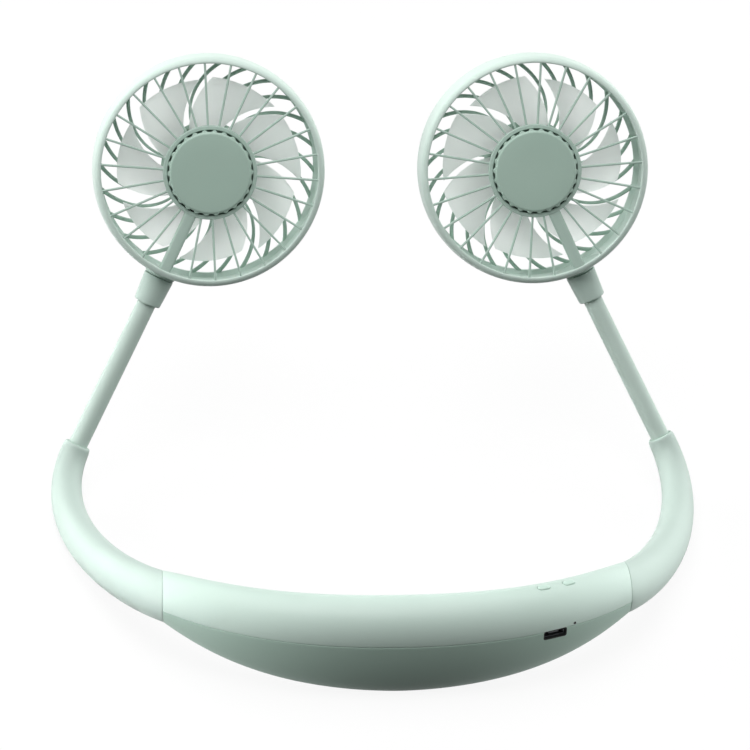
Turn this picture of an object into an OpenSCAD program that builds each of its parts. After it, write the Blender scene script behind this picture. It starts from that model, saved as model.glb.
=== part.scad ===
// Electric neck fan: a curved battery housing worn behind the neck, two sleeved
// arms, and two bendable goosenecks that each carry a caged fan head.
// It stands on a table: +Z up, +Y from the housing towards the heads, origin at
// the middle of the flat under the housing. The left side mirrors the right.

/* [Housing] */
// Distance from the middle to each end seam
end_x = 78; // [72:0.5:86]
// Distance that the end seams lie behind the middle
end_y = 26.7; // [20:0.5:32]
// Thickness of the housing at the middle, front to back
housing_t = 20; // [19:0.5:26]
// Height of the upper shell over the seam, at the middle
crown_h = 12.3; // [11:0.1:16]
// Height of the seam over the table, at the middle
seam_h = 22; // [21:0.5:28]
// Depth that the flat cuts off the round underside
flat_cut = 0.8; // [0.3:0.1:1.5]
// Drop of the seam from the middle to the ends
end_drop = 2.2; // [0:0.1:4]
// Angle of the housing's centreline at its ends, seen from above
end_turn = 46; // [38:1:52]
// Fall of the centreline at its ends, as a slope
end_fall = 0.18; // [0.1:0.01:0.25]
// Wall of the two shells
shell_wall = 1.6; // [1.2:0.1:2]

/* [Arms] */
// Diameter of an arm at the housing
arm_root_d = 16.2; // [15:0.1:18]
// Diameter of an arm half way along
arm_mid_d = 12.6; // [11.5:0.1:14]
// Diameter of an arm at its mouth
arm_mouth_d = 10.2; // [9.8:0.1:11.5]
// Place of the right arm's mouth
mouth_at = [108.5, 131.9, 18.4];
// Pull of the arm's curve at the housing end
root_pull = 27.8; // [22:0.2:34]
// Pull of the arm's curve at the mouth end
mouth_pull = 32; // [28:0.2:38]
// Diameter of the stiff core inside an arm
core_d = 4.4; // [3:0.1:5]

/* [Goosenecks] */
// Diameter of a gooseneck
neck_d = 7; // [6:0.1:7.4]
// Bore of a gooseneck's sleeve
neck_bore_d = 3; // [2.4:0.1:3.6]
// Running gap of each ball in its cup
ball_gap = 0.3; // [0.2:0.05:0.4]
// Distance from a cup's rim to the middle of its ball
ball_lift = 2.4; // [2:0.1:2.6]
// Diameter of a collar at the gooseneck
collar_low_d = 10; // [9.4:0.1:11]
// Diameter of a collar at the head
collar_top_d = 11.3; // [10.4:0.1:12]

/* [Heads] */
// Place of the right head's middle
head_at = [59.5, 168, 112.3];
// Diameter of a head
head_d = 84.6; // [80:0.2:90]
// Depth of a head's ring
head_t = 23; // [22:0.5:27]
// Backward lean of a head
head_tilt = 18; // [10:1:26]
// Turn of a head towards the other one
head_toe = 2; // [0:0.5:6]
// Lean of the stem from straight down, in the plane of the head
stem_lean = 26; // [20:1:32]
// Width of the rim round each open face
face_rim = 3.1; // [2:0.1:5]
// Number of places round the motor side, one of them the lead channel
spoke_n = 26; // [20:1:30]
// Width of a spoke
spoke_w = 0.8; // [0.7:0.05:1.2]
// Number of swirl ribs on the outlet side
rib_n = 26; // [20:1:30]
// Turn of a swirl rib from the hub to the ring
rib_turn = 27.6; // [10:0.2:34]
// Width of a swirl rib at the ring
rib_rim_w = 1.5; // [1:0.1:2]
// Width of a swirl rib at the hub
rib_hub_w = 0.9; // [0.8:0.1:1.4]

/* [Hubs and caps] */
// Diameter of the hub on both faces
hub_d = 34; // [32.6:0.2:36]
// Distance from the hub's rim to the hub cap, spanned by the scallops
cap_gap = 1; // [0.7:0.1:1.8]
// Number of scallops round the hub cap
scallop_n = 24; // [16:1:30]
// Height of the hub cap
cap_h = 2.3; // [1.8:0.1:3]

/* [Impellers and motors] */
// Number of blades
blade_n = 7; // [5:1:9]
// Distance from the blade tips to the skin of the ring
tip_in = 9; // [7.5:0.1:12]
// Thickness of a blade
blade_t = 1; // [0.9:0.1:1.4]
// Sweep of a blade's edge from the hub to the tip
blade_sweep_angle = 32; // [10:1:36]
// Gap between neighbouring blades at the tip, as an angle
blade_gap_angle = 5; // [4:0.5:12]
// Diameter of the impeller's cup
cup_d = 28.6; // [28:0.1:30]
// Diameter of the motor shaft
shaft_d = 1.5; // [1.2:0.1:2]
// Number of stator poles
pole_n = 6; // [6:3:9]

/* [Controls] */
// Length of a button
button_l = 4.4; // [3.6:0.1:5]
// Width of a button
button_w = 2.4; // [2:0.1:3]
// Height that a button stands proud
button_proud = 0.3; // [0.2:0.05:0.5]
// Gap round a button
button_gap = 0.3; // [0.2:0.05:0.4]
// Width of the charging port
port_w = 8.6; // [8:0.1:9.4]
// Height of the charging port
port_h = 3.4; // [3:0.1:3.8]

/* [Hidden] */

$fn = 64;
LEFT = -1;
RIGHT = 1;
X_AXIS = [1, 0, 0];
Z_AXIS = [0, 0, 1];
// Overrun of every cut
over = 1;
// Gap between fixed pieces that seat in one another
fit = 0.1;
// Clearance of a part held in a close bore
close_fit = 0.03;

mint = [0.78, 0.86, 0.82];
mint_dark = [0.55, 0.64, 0.59];
milky = [0.88, 0.9, 0.88, 0.8];
steel = [0.75, 0.76, 0.78];
copper = [0.78, 0.45, 0.25];
board_green = [0.1, 0.35, 0.2];
black = [0.08, 0.08, 0.09];
foam_grey = [0.35, 0.36, 0.38];

// Curves and sweeps

function unit(v) = v / norm(v);

// Point and direction on a cubic curve with end points a, d and pulls b, c
function curve(a, b, c, d, t) =
    pow(1 - t, 3) * a + 3 * t * pow(1 - t, 2) * b + 3 * t * t * (1 - t) * c + t * t * t * d;
function curve_dir(a, b, c, d, t) =
    unit(pow(1 - t, 2) * (b - a) + 2 * t * (1 - t) * (c - b) + t * t * (d - c));

// Point of a ring round c that follows t and is cut by the plane with normal n:
// a is the reach to the side, b the reach up or down
function ring_point(c, t, n, a, b, angle) =
    let (
        side = unit(cross(Z_AXIS, t)),
        up = cross(t, side),
        v = a * cos(angle) * side + b * sin(angle) * up
    )
    c + v - t * (v * n) / (t * n);

function round_ring(c, t, n, r, sides) =
    [for (k = [0 : sides - 1]) ring_point(c, t, n, r, r, 360 * k / sides)];

function flat_list(rings) = [for (ring = rings) each ring];

// Side triangles between ring i and ring j, each of n points. Two solids that
// meet on the same points split their shared faces alike where one is flipped:
// the strips flip and twice flip, counted along the ring.
function band(i, j, n, flip = 0) = [
    for (k = [0 : n - 1])
        let (a = i * n + k, b = i * n + (k + 1) % n, c = j * n + (k + 1) % n, d = j * n + k)
        each (flip > 0 && (k + 1) % flip == 0) ? [[a, d, b], [b, d, c]] : [[a, d, c], [a, c, b]]
];

// Solid swept through rings, with a flat cap on each end
module sweep(rings, flip = 0) {
    n = len(rings[0]);
    last = len(rings) - 1;
    polyhedron(
        flat_list(rings),
        concat(
            [[for (k = [0 : n - 1]) k]],
            [for (i = [0 : last - 1]) each band(i, i + 1, n, flip)],
            [[for (k = [n - 1 : -1 : 0]) last * n + k]]
        )
    );
}

// Hollow solid whose rings run out along the skin and back along the bore
module sweep_hollow(rings) {
    n = len(rings[0]);
    count = len(rings);
    polyhedron(flat_list(rings), [for (i = [0 : count - 1]) each band(i, (i + 1) % count, n)]);
}

// Children with their Z axis along d and their origin at p
module along(p, d) {
    translate(p)
        rotate([0, acos(d.z), atan2(d.y, d.x)])
            children();
}

module side_of(hand) {
    mirror([hand == LEFT ? 1 : 0, 0, 0])
        children();
}

// Flat outline with round ends
module pill(l, w) {
    square([l - w, w], center = true);
    for (x = [-1, 1])
        translate([x * (l - w) / 2, 0])
            circle(d = w);
}

// Housing centreline, from the middle at u = 0 to the right end seam at u = 1

mid_pull_share = 0.545;
end_pull_share = 0.276;
seam_mid = [0, 0, seam_h];
seam_end = [end_x, end_y, seam_h - end_drop];
end_dir = unit([cos(end_turn), sin(end_turn), -end_fall]);
seam_b = seam_mid + [mid_pull_share * end_x, 0, 0];
seam_c = seam_end - end_pull_share * end_x * end_dir;

function seam_at(u) = curve(seam_mid, seam_b, seam_c, seam_end, u);
function seam_dir(u) = curve_dir(seam_mid, seam_b, seam_c, seam_end, u);
function seam_turn(u) = atan2(seam_dir(u).y, seam_dir(u).x);

// Half thickness, crown and belly of the housing along its centreline
side_taper = 1.5;
crown_taper = 1.6;
belly_taper = 1.6;
function tapered(mid, u, power) = arm_root_d / 2 + (mid - arm_root_d / 2) * (1 - pow(u, power));
function half_t(u) = tapered(housing_t / 2, u, side_taper);
function crown(u) = tapered(crown_h, u, crown_taper);
function belly(u) = tapered(seam_h + flat_cut, u, belly_taper);

// Half section of a shell at w, which runs from -1 at the left end to 1 at the
// right: the skin from the far side to the near side, and back along the wall.
// The table plane flattens the underside.
arc_steps = 12;
station_n = 13;
function half_arc(u, inset, sign, back) = [
    for (k = [0 : arc_steps])
        let (angle = sign * 180 * (back ? arc_steps - k : k) / arc_steps)
        ring_point(
            seam_at(u), seam_dir(u), X_AXIS, half_t(u) - inset,
            (sign > 0 ? crown(u) : belly(u)) - inset, angle
        )
];
function shell_ring(w, sign) =
    let (
        u = abs(w),
        skin = half_arc(u, 0, sign, false),
        wall = half_arc(u, shell_wall, sign, true),
        ring = sign > 0 ? concat(skin, wall) : concat(
            half_arc(u, 0, sign, true), half_arc(u, shell_wall, sign, false)
        )
    )
    [for (p = ring) [w < 0 ? -p.x : p.x, p.y, max(p.z, 0)]];

module half_shell(sign) {
    sweep(
        [for (k = [-station_n : station_n]) shell_ring(k / station_n, sign)],
        sign < 0 ? arc_steps + 1 : 0
    );
}

// Controls: places along the right half of the centreline

port_u_share = 0.465;
light_u_share = 0.548;
power_u_share = 0.46;
mode_u_share = 0.582;
// The charging port sits under the seam, the charge light over it
port_drop = 1.4;
light_rise = 0.9;
light_d = 1;
light_l = 4;
port_corner = 1.2;
button_travel = 0.6;
switch_size = 3.6;
switch_h = 2;
plunger_d = 1.8;
plunger_h = 0.7;
stem_d = 2;
flange = 0.5;
flange_t = 1;
flange_drop = 0.9;
board_l = 28;
board_w = 10.4;
board_t = 1.2;
board_u_share = 0.53;
usb_w = 7.5;
usb_h = 2.6;
usb_depth = 5.6;
usb_inset = 1.2;
usb_wall = 0.4;
usb_tongue_w = 3.7;
usb_tongue_t = 0.6;

board_top = seam_at(port_u_share).z - port_drop - usb_h / 2;
switch_top = board_top + switch_h;

// Frame at u: X along the housing, Y to the far side, Z up, at height z
module control_frame(u, z) {
    translate([seam_at(u).x, seam_at(u).y, z])
        rotate([0, 0, seam_turn(u)])
            children();
}

module button_frame(u) {
    control_frame(u, seam_at(u).z + crown(u))
        children();
}

module button_hole(u) {
    button_frame(u)
        translate([0, 0, -crown(u) + over])
            linear_extrude(crown(u) + over)
                pill(button_l + 2 * button_gap, button_w + 2 * button_gap);
}

module port_hole() {
    control_frame(port_u_share, seam_at(port_u_share).z - port_drop)
        rotate([90, 0, 0])
            linear_extrude(housing_t)
                port_outline(port_w, port_h);
}

module port_outline(w, h) {
    square([w - 2 * port_corner, h], center = true);
    square([w, h - 2 * port_corner], center = true);
    for (x = [-1, 1], y = [-1, 1])
        translate([x * (w / 2 - port_corner), y * (h / 2 - port_corner)])
            circle(r = port_corner);
}

module light_frame() {
    control_frame(light_u_share, seam_at(light_u_share).z + light_rise)
        rotate([90, 0, 0])
            children();
}

module housing_top_shell() {
    color(mint)
        difference() {
            half_shell(1);
            button_hole(power_u_share);
            button_hole(mode_u_share);
            port_hole();
            light_frame()
                cylinder(d = light_d + fit, h = housing_t);
        }
}

module housing_bottom_shell() {
    color(mint_dark)
        difference() {
            half_shell(-1);
            port_hole();
        }
}

module charge_light_pipe() {
    color(milky)
        light_frame()
            translate([0, 0, half_t(light_u_share) - light_l])
                cylinder(d = light_d, h = light_l);
}

module button(u) {
    button_frame(u)
        union() {
            translate([0, 0, -shell_wall - flange_drop])
                linear_extrude(shell_wall + flange_drop + button_proud)
                    pill(button_l, button_w);
            translate([0, 0, -shell_wall - flange_drop - flange_t])
                linear_extrude(flange_t)
                    pill(button_l + 2 * flange, button_w + 2 * flange);
            stem_l = seam_at(u).z + crown(u) - shell_wall - flange_drop - switch_top
                - plunger_h - button_travel - fit;
            translate([0, 0, -shell_wall - flange_drop - stem_l])
                cylinder(d = stem_d, h = stem_l);
        }
}

module power_button() {
    color(mint)
        button(power_u_share);
}

module mode_button() {
    color(mint)
        button(mode_u_share);
}

module control_board() {
    color(board_green)
        control_frame(board_u_share, board_top - board_t)
            translate([-board_l / 2, -board_w / 2, 0])
                cube([board_l, board_w, board_t]);
}

module tact_switches() {
    color(black)
        for (u = [power_u_share, mode_u_share])
            control_frame(u, board_top)
                union() {
                    translate([-switch_size / 2, -switch_size / 2, 0])
                        cube([switch_size, switch_size, switch_h]);
                    cylinder(d = plunger_d, h = switch_h + plunger_h);
                }
}

module usb_socket() {
    color(steel)
        control_frame(port_u_share, board_top + usb_h / 2)
            translate([0, -half_t(port_u_share) + usb_inset + usb_depth, 0])
                rotate([90, 0, 0])
                    union() {
                        difference() {
                            linear_extrude(usb_depth)
                                square([usb_w, usb_h], center = true);
                            translate([0, 0, usb_wall])
                                linear_extrude(usb_depth)
                                    square([usb_w - 2 * usb_wall, usb_h - 2 * usb_wall], center = true);
                        }
                        linear_extrude(usb_depth - usb_wall)
                            square([usb_tongue_w, usb_tongue_t], center = true);
                    }
}

// Battery, on a foam pad over the belly

battery_l = 54;
battery_t = 9.6;
battery_h = 18.6;
battery_corner = 1.5;
battery_at = [-2, 0.9, 9.4];
pad_l = 24;
pad_w = 4;
pad_floor = 2.4;
lead_d = 1.2;
lead_pitch = 2.4;
lead_l = 16;
lead_turn = 7;

module battery_cell() {
    color(steel)
        translate(battery_at + [-battery_l / 2, 0, battery_h / 2])
            rotate([90, 0, 90])
                linear_extrude(battery_l)
                    rounded_block(battery_t, battery_h, battery_corner);
}

module rounded_block(w, h, r) {
    square([w - 2 * r, h], center = true);
    square([w, h - 2 * r], center = true);
    for (x = [-1, 1], y = [-1, 1])
        translate([x * (w / 2 - r), y * (h / 2 - r)])
            circle(r = r);
}

module battery_pad() {
    color(foam_grey)
        translate([battery_at.x - pad_l / 2, battery_at.y - pad_w / 2, pad_floor])
            cube([pad_l, pad_w, battery_at.z - pad_floor]);
}

module battery_leads() {
    color(copper)
        for (k = [-1, 1])
            translate([
                battery_at.x + battery_l / 2 + fit, battery_at.y + k * lead_pitch / 2,
                board_top - board_t - lead_d / 2 - close_fit
            ])
                rotate([0, 90, lead_turn])
                    cylinder(d = lead_d, h = lead_l);
}

// Gooseneck line and head frame, on the right side

stem_dir = [sin(stem_lean), -cos(stem_lean), 0];
function spin_x(v, a) = [v.x, v.y * cos(a) - v.z * sin(a), v.y * sin(a) + v.z * cos(a)];
function spin_z(v, a) = [v.x * cos(a) - v.y * sin(a), v.x * sin(a) + v.y * cos(a), v.z];
// A direction in the head's own frame, turned into the part's frame
function head_to_part(v) = spin_z(spin_x(v, 90 - head_tilt), -head_toe);
collar_dir = head_to_part(stem_dir);
head_r = head_d / 2;
// The swivel gap between stem and collar
joint_gap = 0.3;
// Reach of the stem past the ring
stem_reach = 0.6;
collar_top_at = head_r + stem_reach;
collar_l = 10.7;
collar_low = head_at + (collar_top_at + joint_gap + collar_l) * collar_dir;
ball_top = collar_low + ball_lift * collar_dir;
mouth_dir = unit(ball_top - mouth_at);
ball_low = mouth_at + ball_lift * mouth_dir;
ball_mid = (ball_low + ball_top) / 2;
neck_half = norm(ball_top - ball_low) / 2;
neck_r = neck_d / 2;

// Arms

arm_b = seam_end + root_pull * end_dir;
arm_c = mouth_at - mouth_pull * mouth_dir;
function arm_at(s) = curve(seam_end, arm_b, arm_c, mouth_at, s);
function arm_dir(s) = curve_dir(seam_end, arm_b, arm_c, mouth_at, s);
function arm_r(s) =
    ((1 - s) * (1 - 2 * s) * arm_root_d + 4 * s * (1 - s) * arm_mid_d + s * (2 * s - 1) * arm_mouth_d) / 2;
// The arm's rings start in the plane of the end seam and turn square to the arm
square_share = 0.3;
function eased(t) = t >= 1 ? 1 : t * t * (3 - 2 * t);
function arm_plane(s) =
    let (k = eased(s / square_share))
    unit((1 - k) * X_AXIS + k * arm_dir(s));

arm_sides = 20;
arm_steps = 16;
bore_steps = 8;
socket_l = 5;
socket_d = 8;
spigot_share = 0.9;
core_share = 0.84;
mouth_round = 2;
mouth_round_steps = 3;
// Shares of the arm at which a length d before the mouth starts
function before_mouth(d) = 1 - d / (3 * mouth_pull);

module arm_sleeve(hand) {
    spigot_r = arm_root_d / 2 - shell_wall - fit;
    bore_r = core_d / 2 + fit;
    skin_end = before_mouth(mouth_round);
    bore_end = before_mouth(socket_l + over);
    spigot = [
        for (u = [spigot_share, (1 + spigot_share) / 2, 1])
            round_ring(seam_at(u), seam_dir(u), X_AXIS, spigot_r, arm_sides)
    ];
    skin = [
        for (k = [0 : arm_steps])
            let (s = skin_end * k / arm_steps)
            round_ring(arm_at(s), arm_dir(s), arm_plane(s), arm_r(s), arm_sides)
    ];
    lip = [
        for (k = [1 : mouth_round_steps])
            let (a = 90 * k / mouth_round_steps, c = mouth_at - mouth_round * (1 - sin(a)) * mouth_dir)
            round_ring(
                c, mouth_dir, mouth_dir,
                arm_mouth_d / 2 - (arm_mouth_d - socket_d) / 3 * (1 - cos(a)), arm_sides
            )
    ];
    seat = [
        for (p = [[0, socket_d / 2 + fit], [socket_l, socket_d / 2 + fit], [socket_l, bore_r]])
            round_ring(mouth_at - p[0] * mouth_dir, mouth_dir, mouth_dir, p[1], arm_sides)
    ];
    bore = [
        for (k = [bore_steps : -1 : 0])
            let (s = bore_end * k / bore_steps)
            round_ring(arm_at(s), arm_dir(s), arm_plane(s), bore_r, arm_sides)
    ];
    tail = [round_ring(seam_at(spigot_share), seam_dir(spigot_share), X_AXIS, bore_r, arm_sides)];
    color(mint)
        side_of(hand)
            sweep_hollow(concat(spigot, skin, lip, seat, bore, tail));
}

core_sides = 8;
module arm_core(hand) {
    core_end = before_mouth(socket_l + over);
    inside = [
        for (u = [core_share, spigot_share])
            round_ring(seam_at(u), seam_dir(u), X_AXIS, core_d / 2, core_sides)
    ];
    outside = [
        for (k = [0 : bore_steps])
            let (s = core_end * k / bore_steps)
            round_ring(arm_at(s), arm_dir(s), arm_plane(s), core_d / 2, core_sides)
    ];
    color(steel)
        side_of(hand)
            sweep(concat(inside, outside));
}

module neck_socket(hand) {
    color(mint_dark)
        side_of(hand)
            along(mouth_at, mouth_dir)
                difference() {
                    translate([0, 0, -socket_l + fit])
                        cylinder(d = socket_d, h = socket_l - fit);
                    translate([0, 0, ball_lift])
                        sphere(r = neck_r + ball_gap);
                    translate([0, 0, -socket_l])
                        cylinder(d = neck_bore_d, h = socket_l);
                }
}

// Goosenecks: each stands in two lengths, with a ball at each bend

module neck_lower(hand) {
    color(mint)
        side_of(hand)
            along(ball_low, mouth_dir)
                difference() {
                    union() {
                        sphere(r = neck_r);
                        cylinder(r = neck_r, h = neck_half - ball_lift);
                    }
                    translate([0, 0, neck_half])
                        sphere(r = neck_r + ball_gap);
                    translate([0, 0, -neck_r - over])
                        cylinder(d = neck_bore_d, h = neck_half + 2 * over);
                }
}

module neck_upper(hand) {
    color(mint)
        side_of(hand)
            along(ball_mid, mouth_dir)
                difference() {
                    union() {
                        sphere(r = neck_r);
                        cylinder(r = neck_r, h = neck_half);
                        translate([0, 0, neck_half])
                            sphere(r = neck_r);
                    }
                    translate([0, 0, -neck_r - over])
                        cylinder(d = neck_bore_d, h = neck_half + 2 * (neck_r + over));
                }
}

core_end_gap = 1;
module neck_core_lower(hand) {
    color(steel)
        side_of(hand)
            along(ball_low, mouth_dir)
                translate([0, 0, -neck_r + core_end_gap])
                    cylinder(d = neck_bore_d - 2 * fit, h = neck_half - ball_lift - core_end_gap);
}

module neck_core_upper(hand) {
    color(steel)
        side_of(hand)
            along(ball_mid, mouth_dir)
                translate([0, 0, -neck_r + core_end_gap])
                    cylinder(d = neck_bore_d - 2 * fit, h = neck_half + 2 * (neck_r - core_end_gap));
}

pin_d = 5;
pin_l = 4.8;
pin_gap = 0.06;
lead_hole_d = 2.6;
module collar(hand) {
    color(mint)
        side_of(hand)
            along(collar_low, -collar_dir)
                difference() {
                    cylinder(d1 = collar_low_d, d2 = collar_top_d, h = collar_l);
                    translate([0, 0, -ball_lift])
                        sphere(r = neck_r + ball_gap);
                    translate([0, 0, collar_l - pin_l - joint_gap])
                        cylinder(d = pin_d + 2 * pin_gap, h = pin_l + joint_gap + over);
                    translate([0, 0, -over])
                        cylinder(d = lead_hole_d, h = collar_l + 2 * over);
                }
}

// Heads, in their own frame: Z out of the motor side, Y up the face

half_depth = head_t / 2;
face_r = head_r - face_rim;
hub_r = hub_d / 2;
ring_wall = 1.5;
ring_crown = 1.1;
ring_edge = 0.5;
lip_t = 1.8;
patch_rim = 0.8;
patch_in = 3.1;
spoke_t = 1.5;
spoke_sink = 0.2;
hub_plate_t = 1.5;
hub_rim_h = 0.6;
hub_rim_w = 0.6;
cap_r = hub_r - hub_rim_w - cap_gap;
channel_w = 4.4;
channel_h = 3.7;
groove_w = 2.2;
groove_h = 2.4;
stem_r = collar_top_d / 2;
flare_r = 9.5;
flare_t = 8.4;
flare_in = 2.5;
flare_l = flare_in + stem_reach;
flare_shares = [0, 0.2, 0.4, 0.7, 1];
rib_t = 2;
rib_steps = 7;
rib_power = 1.5;
rib_shift = 2.95;
ring_shares = [0, 0.3, 0.5, 0.65, 0.78, 0.88, 0.95];

module head_frame(hand) {
    side_of(hand)
        translate(head_at)
            rotate([90 - head_tilt, 0, -head_toe])
                children();
}

// Children with X along the stem
module stem_frame() {
    rotate([0, 0, stem_lean - 90])
        children();
}

// Half of the barrel ring, open at z = 0, with a lip round its face
module half_ring() {
    rotate_extrude($fn = 120)
        polygon(concat(
            [for (k = ring_shares) [head_r - ring_crown * k * k, k * half_depth]],
            [
                [head_r - ring_crown - ring_edge, half_depth],
                [face_r, half_depth],
                [face_r, half_depth - lip_t],
                [head_r - ring_wall, half_depth - 2 * lip_t],
                [head_r - ring_wall, 0]
            ]
        ));
}

// Wall of the ring beside the stem, which belongs to the motor side
module stem_patch(grow) {
    intersection() {
        translate([0, 0, -stem_r - patch_rim - grow])
            cylinder(r = head_r, h = stem_r + patch_rim + grow, $fn = 120);
        stem_frame()
            translate([head_r - patch_in, -flare_r - grow, -head_r])
                cube([head_r, 2 * (flare_r + grow), 2 * head_r]);
    }
}

// The flare narrows from the ring to the end of the stem
function flare_half(k) = stem_r - fit + (flare_r - stem_r) * (1 - k) * (1 - k);
module flare_outline() {
    edge = [for (k = flare_shares) [head_r - flare_in + flare_l * k, flare_half(k)]];
    polygon(concat(
        [for (p = edge) [p.x, -p.y]],
        [for (k = [len(edge) - 1 : -1 : 0]) edge[k]]
    ));
}

module stem() {
    stem_frame()
        union() {
            translate([0, 0, -flare_t / 2])
                linear_extrude(flare_t)
                    flare_outline();
            translate([head_r - flare_in, 0, 0])
                rotate([0, 90, 0])
                    cylinder(r = stem_r, h = flare_l);
            translate([head_r - flare_in, 0, 0])
                rotate([0, 90, 0])
                    cylinder(d = pin_d, h = flare_l + pin_l);
        }
}

// The magnet ring lines the impeller's cup, and the stator runs inside it
cup_wall = 1.3;
magnet_t = 1.6;
air_gap = 0.57;
stator_r = cup_d / 2 - cup_wall - close_fit - magnet_t - air_gap;
board_over = 0.7;
motor_board_r = stator_r + board_over;
boss_d = 6.4;
boss_low = -4;
bore_floor = 0.5;
shoulder_d = 8.4;
plate_z = half_depth - hub_rim_h - hub_plate_t;
shoulder_h = 3;
board_seat_z = plate_z - shoulder_h;
bush_d = 4;
bush_gap = 0.05;
bush_sink = 1.2;
bush_top = plate_z - bush_sink;
spoke_in = hub_r - hub_rim_w / 2;
spoke_l = face_r - spoke_in + over;

module motor_side_grille(hand) {
    color(mint)
        head_frame(hand)
            difference() {
                union() {
                    half_ring();
                    stem_patch(0);
                    stem();
                    for (k = [1 : spoke_n - 1])
                        rotate([0, 0, stem_lean - 90 + 360 * k / spoke_n])
                            translate([spoke_in, -spoke_w / 2, half_depth - spoke_sink - spoke_t])
                                cube([spoke_l, spoke_w, spoke_t]);
                    stem_frame()
                        translate([spoke_in, -channel_w / 2, half_depth - spoke_sink - channel_h])
                            cube([spoke_l, channel_w, channel_h]);
                    translate([0, 0, plate_z])
                        cylinder(r = hub_r, h = hub_plate_t);
                    translate([0, 0, plate_z])
                        difference() {
                            cylinder(r = hub_r, h = hub_plate_t + hub_rim_h);
                            translate([0, 0, hub_plate_t])
                                cylinder(r = hub_r - hub_rim_w, h = hub_rim_h + over);
                        }
                    translate([0, 0, board_seat_z])
                        cylinder(d = shoulder_d, h = plate_z - board_seat_z);
                    translate([0, 0, boss_low])
                        cylinder(d = boss_d, h = plate_z - boss_low);
                }
                translate([0, 0, boss_low - over])
                    cylinder(d = bush_d + 2 * close_fit, h = plate_z - bore_floor - boss_low + over);
                stem_frame()
                    translate([hub_r - 2 * over, -groove_w / 2, half_depth - spoke_sink - channel_h - over])
                        cube([face_r - hub_r + over, groove_w, groove_h + over]);
                lead_bore();
            }
}

// Path of the lead: up from the motor board, out along the channel, then down
// into the stem
fan_lead_d = 1.6;
lead_z = plate_z - fan_lead_d / 2 - fit;
lead_start_in = 2;
lead_start = motor_board_r - lead_start_in;
lead_turn_in = 1.4;
lead_bend_in = 1;
lead_turn_at = face_r - lead_turn_in;
lead_bend = head_r - lead_bend_in;

lead_down = [lead_bend - lead_turn_at, 0, -lead_z];
lead_top = [lead_turn_at, 0, lead_z];

// Bore for the lead: down through the wall of the channel, and out of the stem
module lead_bore() {
    stem_frame()
        union() {
            along(lead_top - lead_hole_d / 2 * unit(lead_down), unit(lead_down))
                cylinder(d = lead_hole_d, h = norm(lead_down) + lead_hole_d);
            translate([lead_bend - lead_hole_d / 2, 0, 0])
                rotate([0, 90, 0])
                    cylinder(d = lead_hole_d, h = head_r);
        }
}

module fan_lead(hand) {
    elbow_r = fan_lead_d / 2 + close_fit;
    color(black)
        head_frame(hand)
            stem_frame()
                union() {
                    translate([lead_start, 0, board_seat_z])
                        cylinder(d = fan_lead_d, h = lead_z - board_seat_z);
                    translate([lead_start, 0, lead_z])
                        sphere(r = elbow_r);
                    translate([lead_start, 0, lead_z])
                        rotate([0, 90, 0])
                            cylinder(d = fan_lead_d, h = lead_turn_at - lead_start);
                    translate(lead_top)
                        sphere(r = elbow_r);
                    along(lead_top, unit(lead_down))
                        cylinder(d = fan_lead_d, h = norm(lead_down));
                    translate([lead_bend, 0, 0])
                        sphere(r = elbow_r);
                    translate([lead_bend, 0, 0])
                        rotate([0, 90, 0])
                            cylinder(d = fan_lead_d, h = collar_top_at + pin_l - lead_bend);
                }
}

// Scalloped cap over the motor
scallop_r = 1.2;
cap_edge = 1.4;
cap_edge_steps = 5;
scallop_h = 1.3;
cap_wall = 1.3;
module hub_cap(hand) {
    color(mint_dark)
        head_frame(hand)
            translate([0, 0, plate_z + hub_plate_t])
                difference() {
                    union() {
                        rotate_extrude()
                            polygon(concat(
                                [[0, 0], [cap_r, 0]],
                                [
                                    for (k = [0 : cap_edge_steps])
                                        let (a = 90 * k / cap_edge_steps)
                                        [
                                            cap_r - cap_edge * (1 - cos(a)),
                                            cap_h - cap_edge * (1 - sin(a))
                                        ]
                                ],
                                [[0, cap_h]]
                            ));
                        for (k = [0 : scallop_n - 1])
                            rotate([0, 0, 360 * (k + 0.5) / scallop_n])
                                translate([hub_r - hub_rim_w - fit - scallop_r, 0, 0])
                                    cylinder(r = scallop_r, h = scallop_h, $fn = 24);
                    }
                    translate([0, 0, -over])
                        cylinder(r = cap_r - cap_wall, h = cap_h - cap_wall + over);
                }
}

// Swirl ribs: each curves from the hub to the ring, and widens outwards
function rib_angle(r) = rib_turn * pow(max(0, r - hub_r) / (face_r - hub_r), rib_power);
function rib_width(r) = rib_hub_w + (rib_rim_w - rib_hub_w) * max(0, r - hub_r) / (face_r - hub_r);
function polar(r, a) = [r * cos(a), r * sin(a)];
function rib_edge(sign) = [
    for (k = [0 : rib_steps])
        let (
            r = hub_r - over + (face_r - hub_r + 2 * over) * k / rib_steps,
            half = asin(rib_width(r) / 2 / r)
        )
        polar(r, rib_angle(r) + sign * half)
];
module swirl_rib() {
    out = rib_edge(-1);
    back = rib_edge(1);
    linear_extrude(rib_t)
        polygon(concat(out, [for (k = [rib_steps : -1 : 0]) back[k]]));
}

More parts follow.
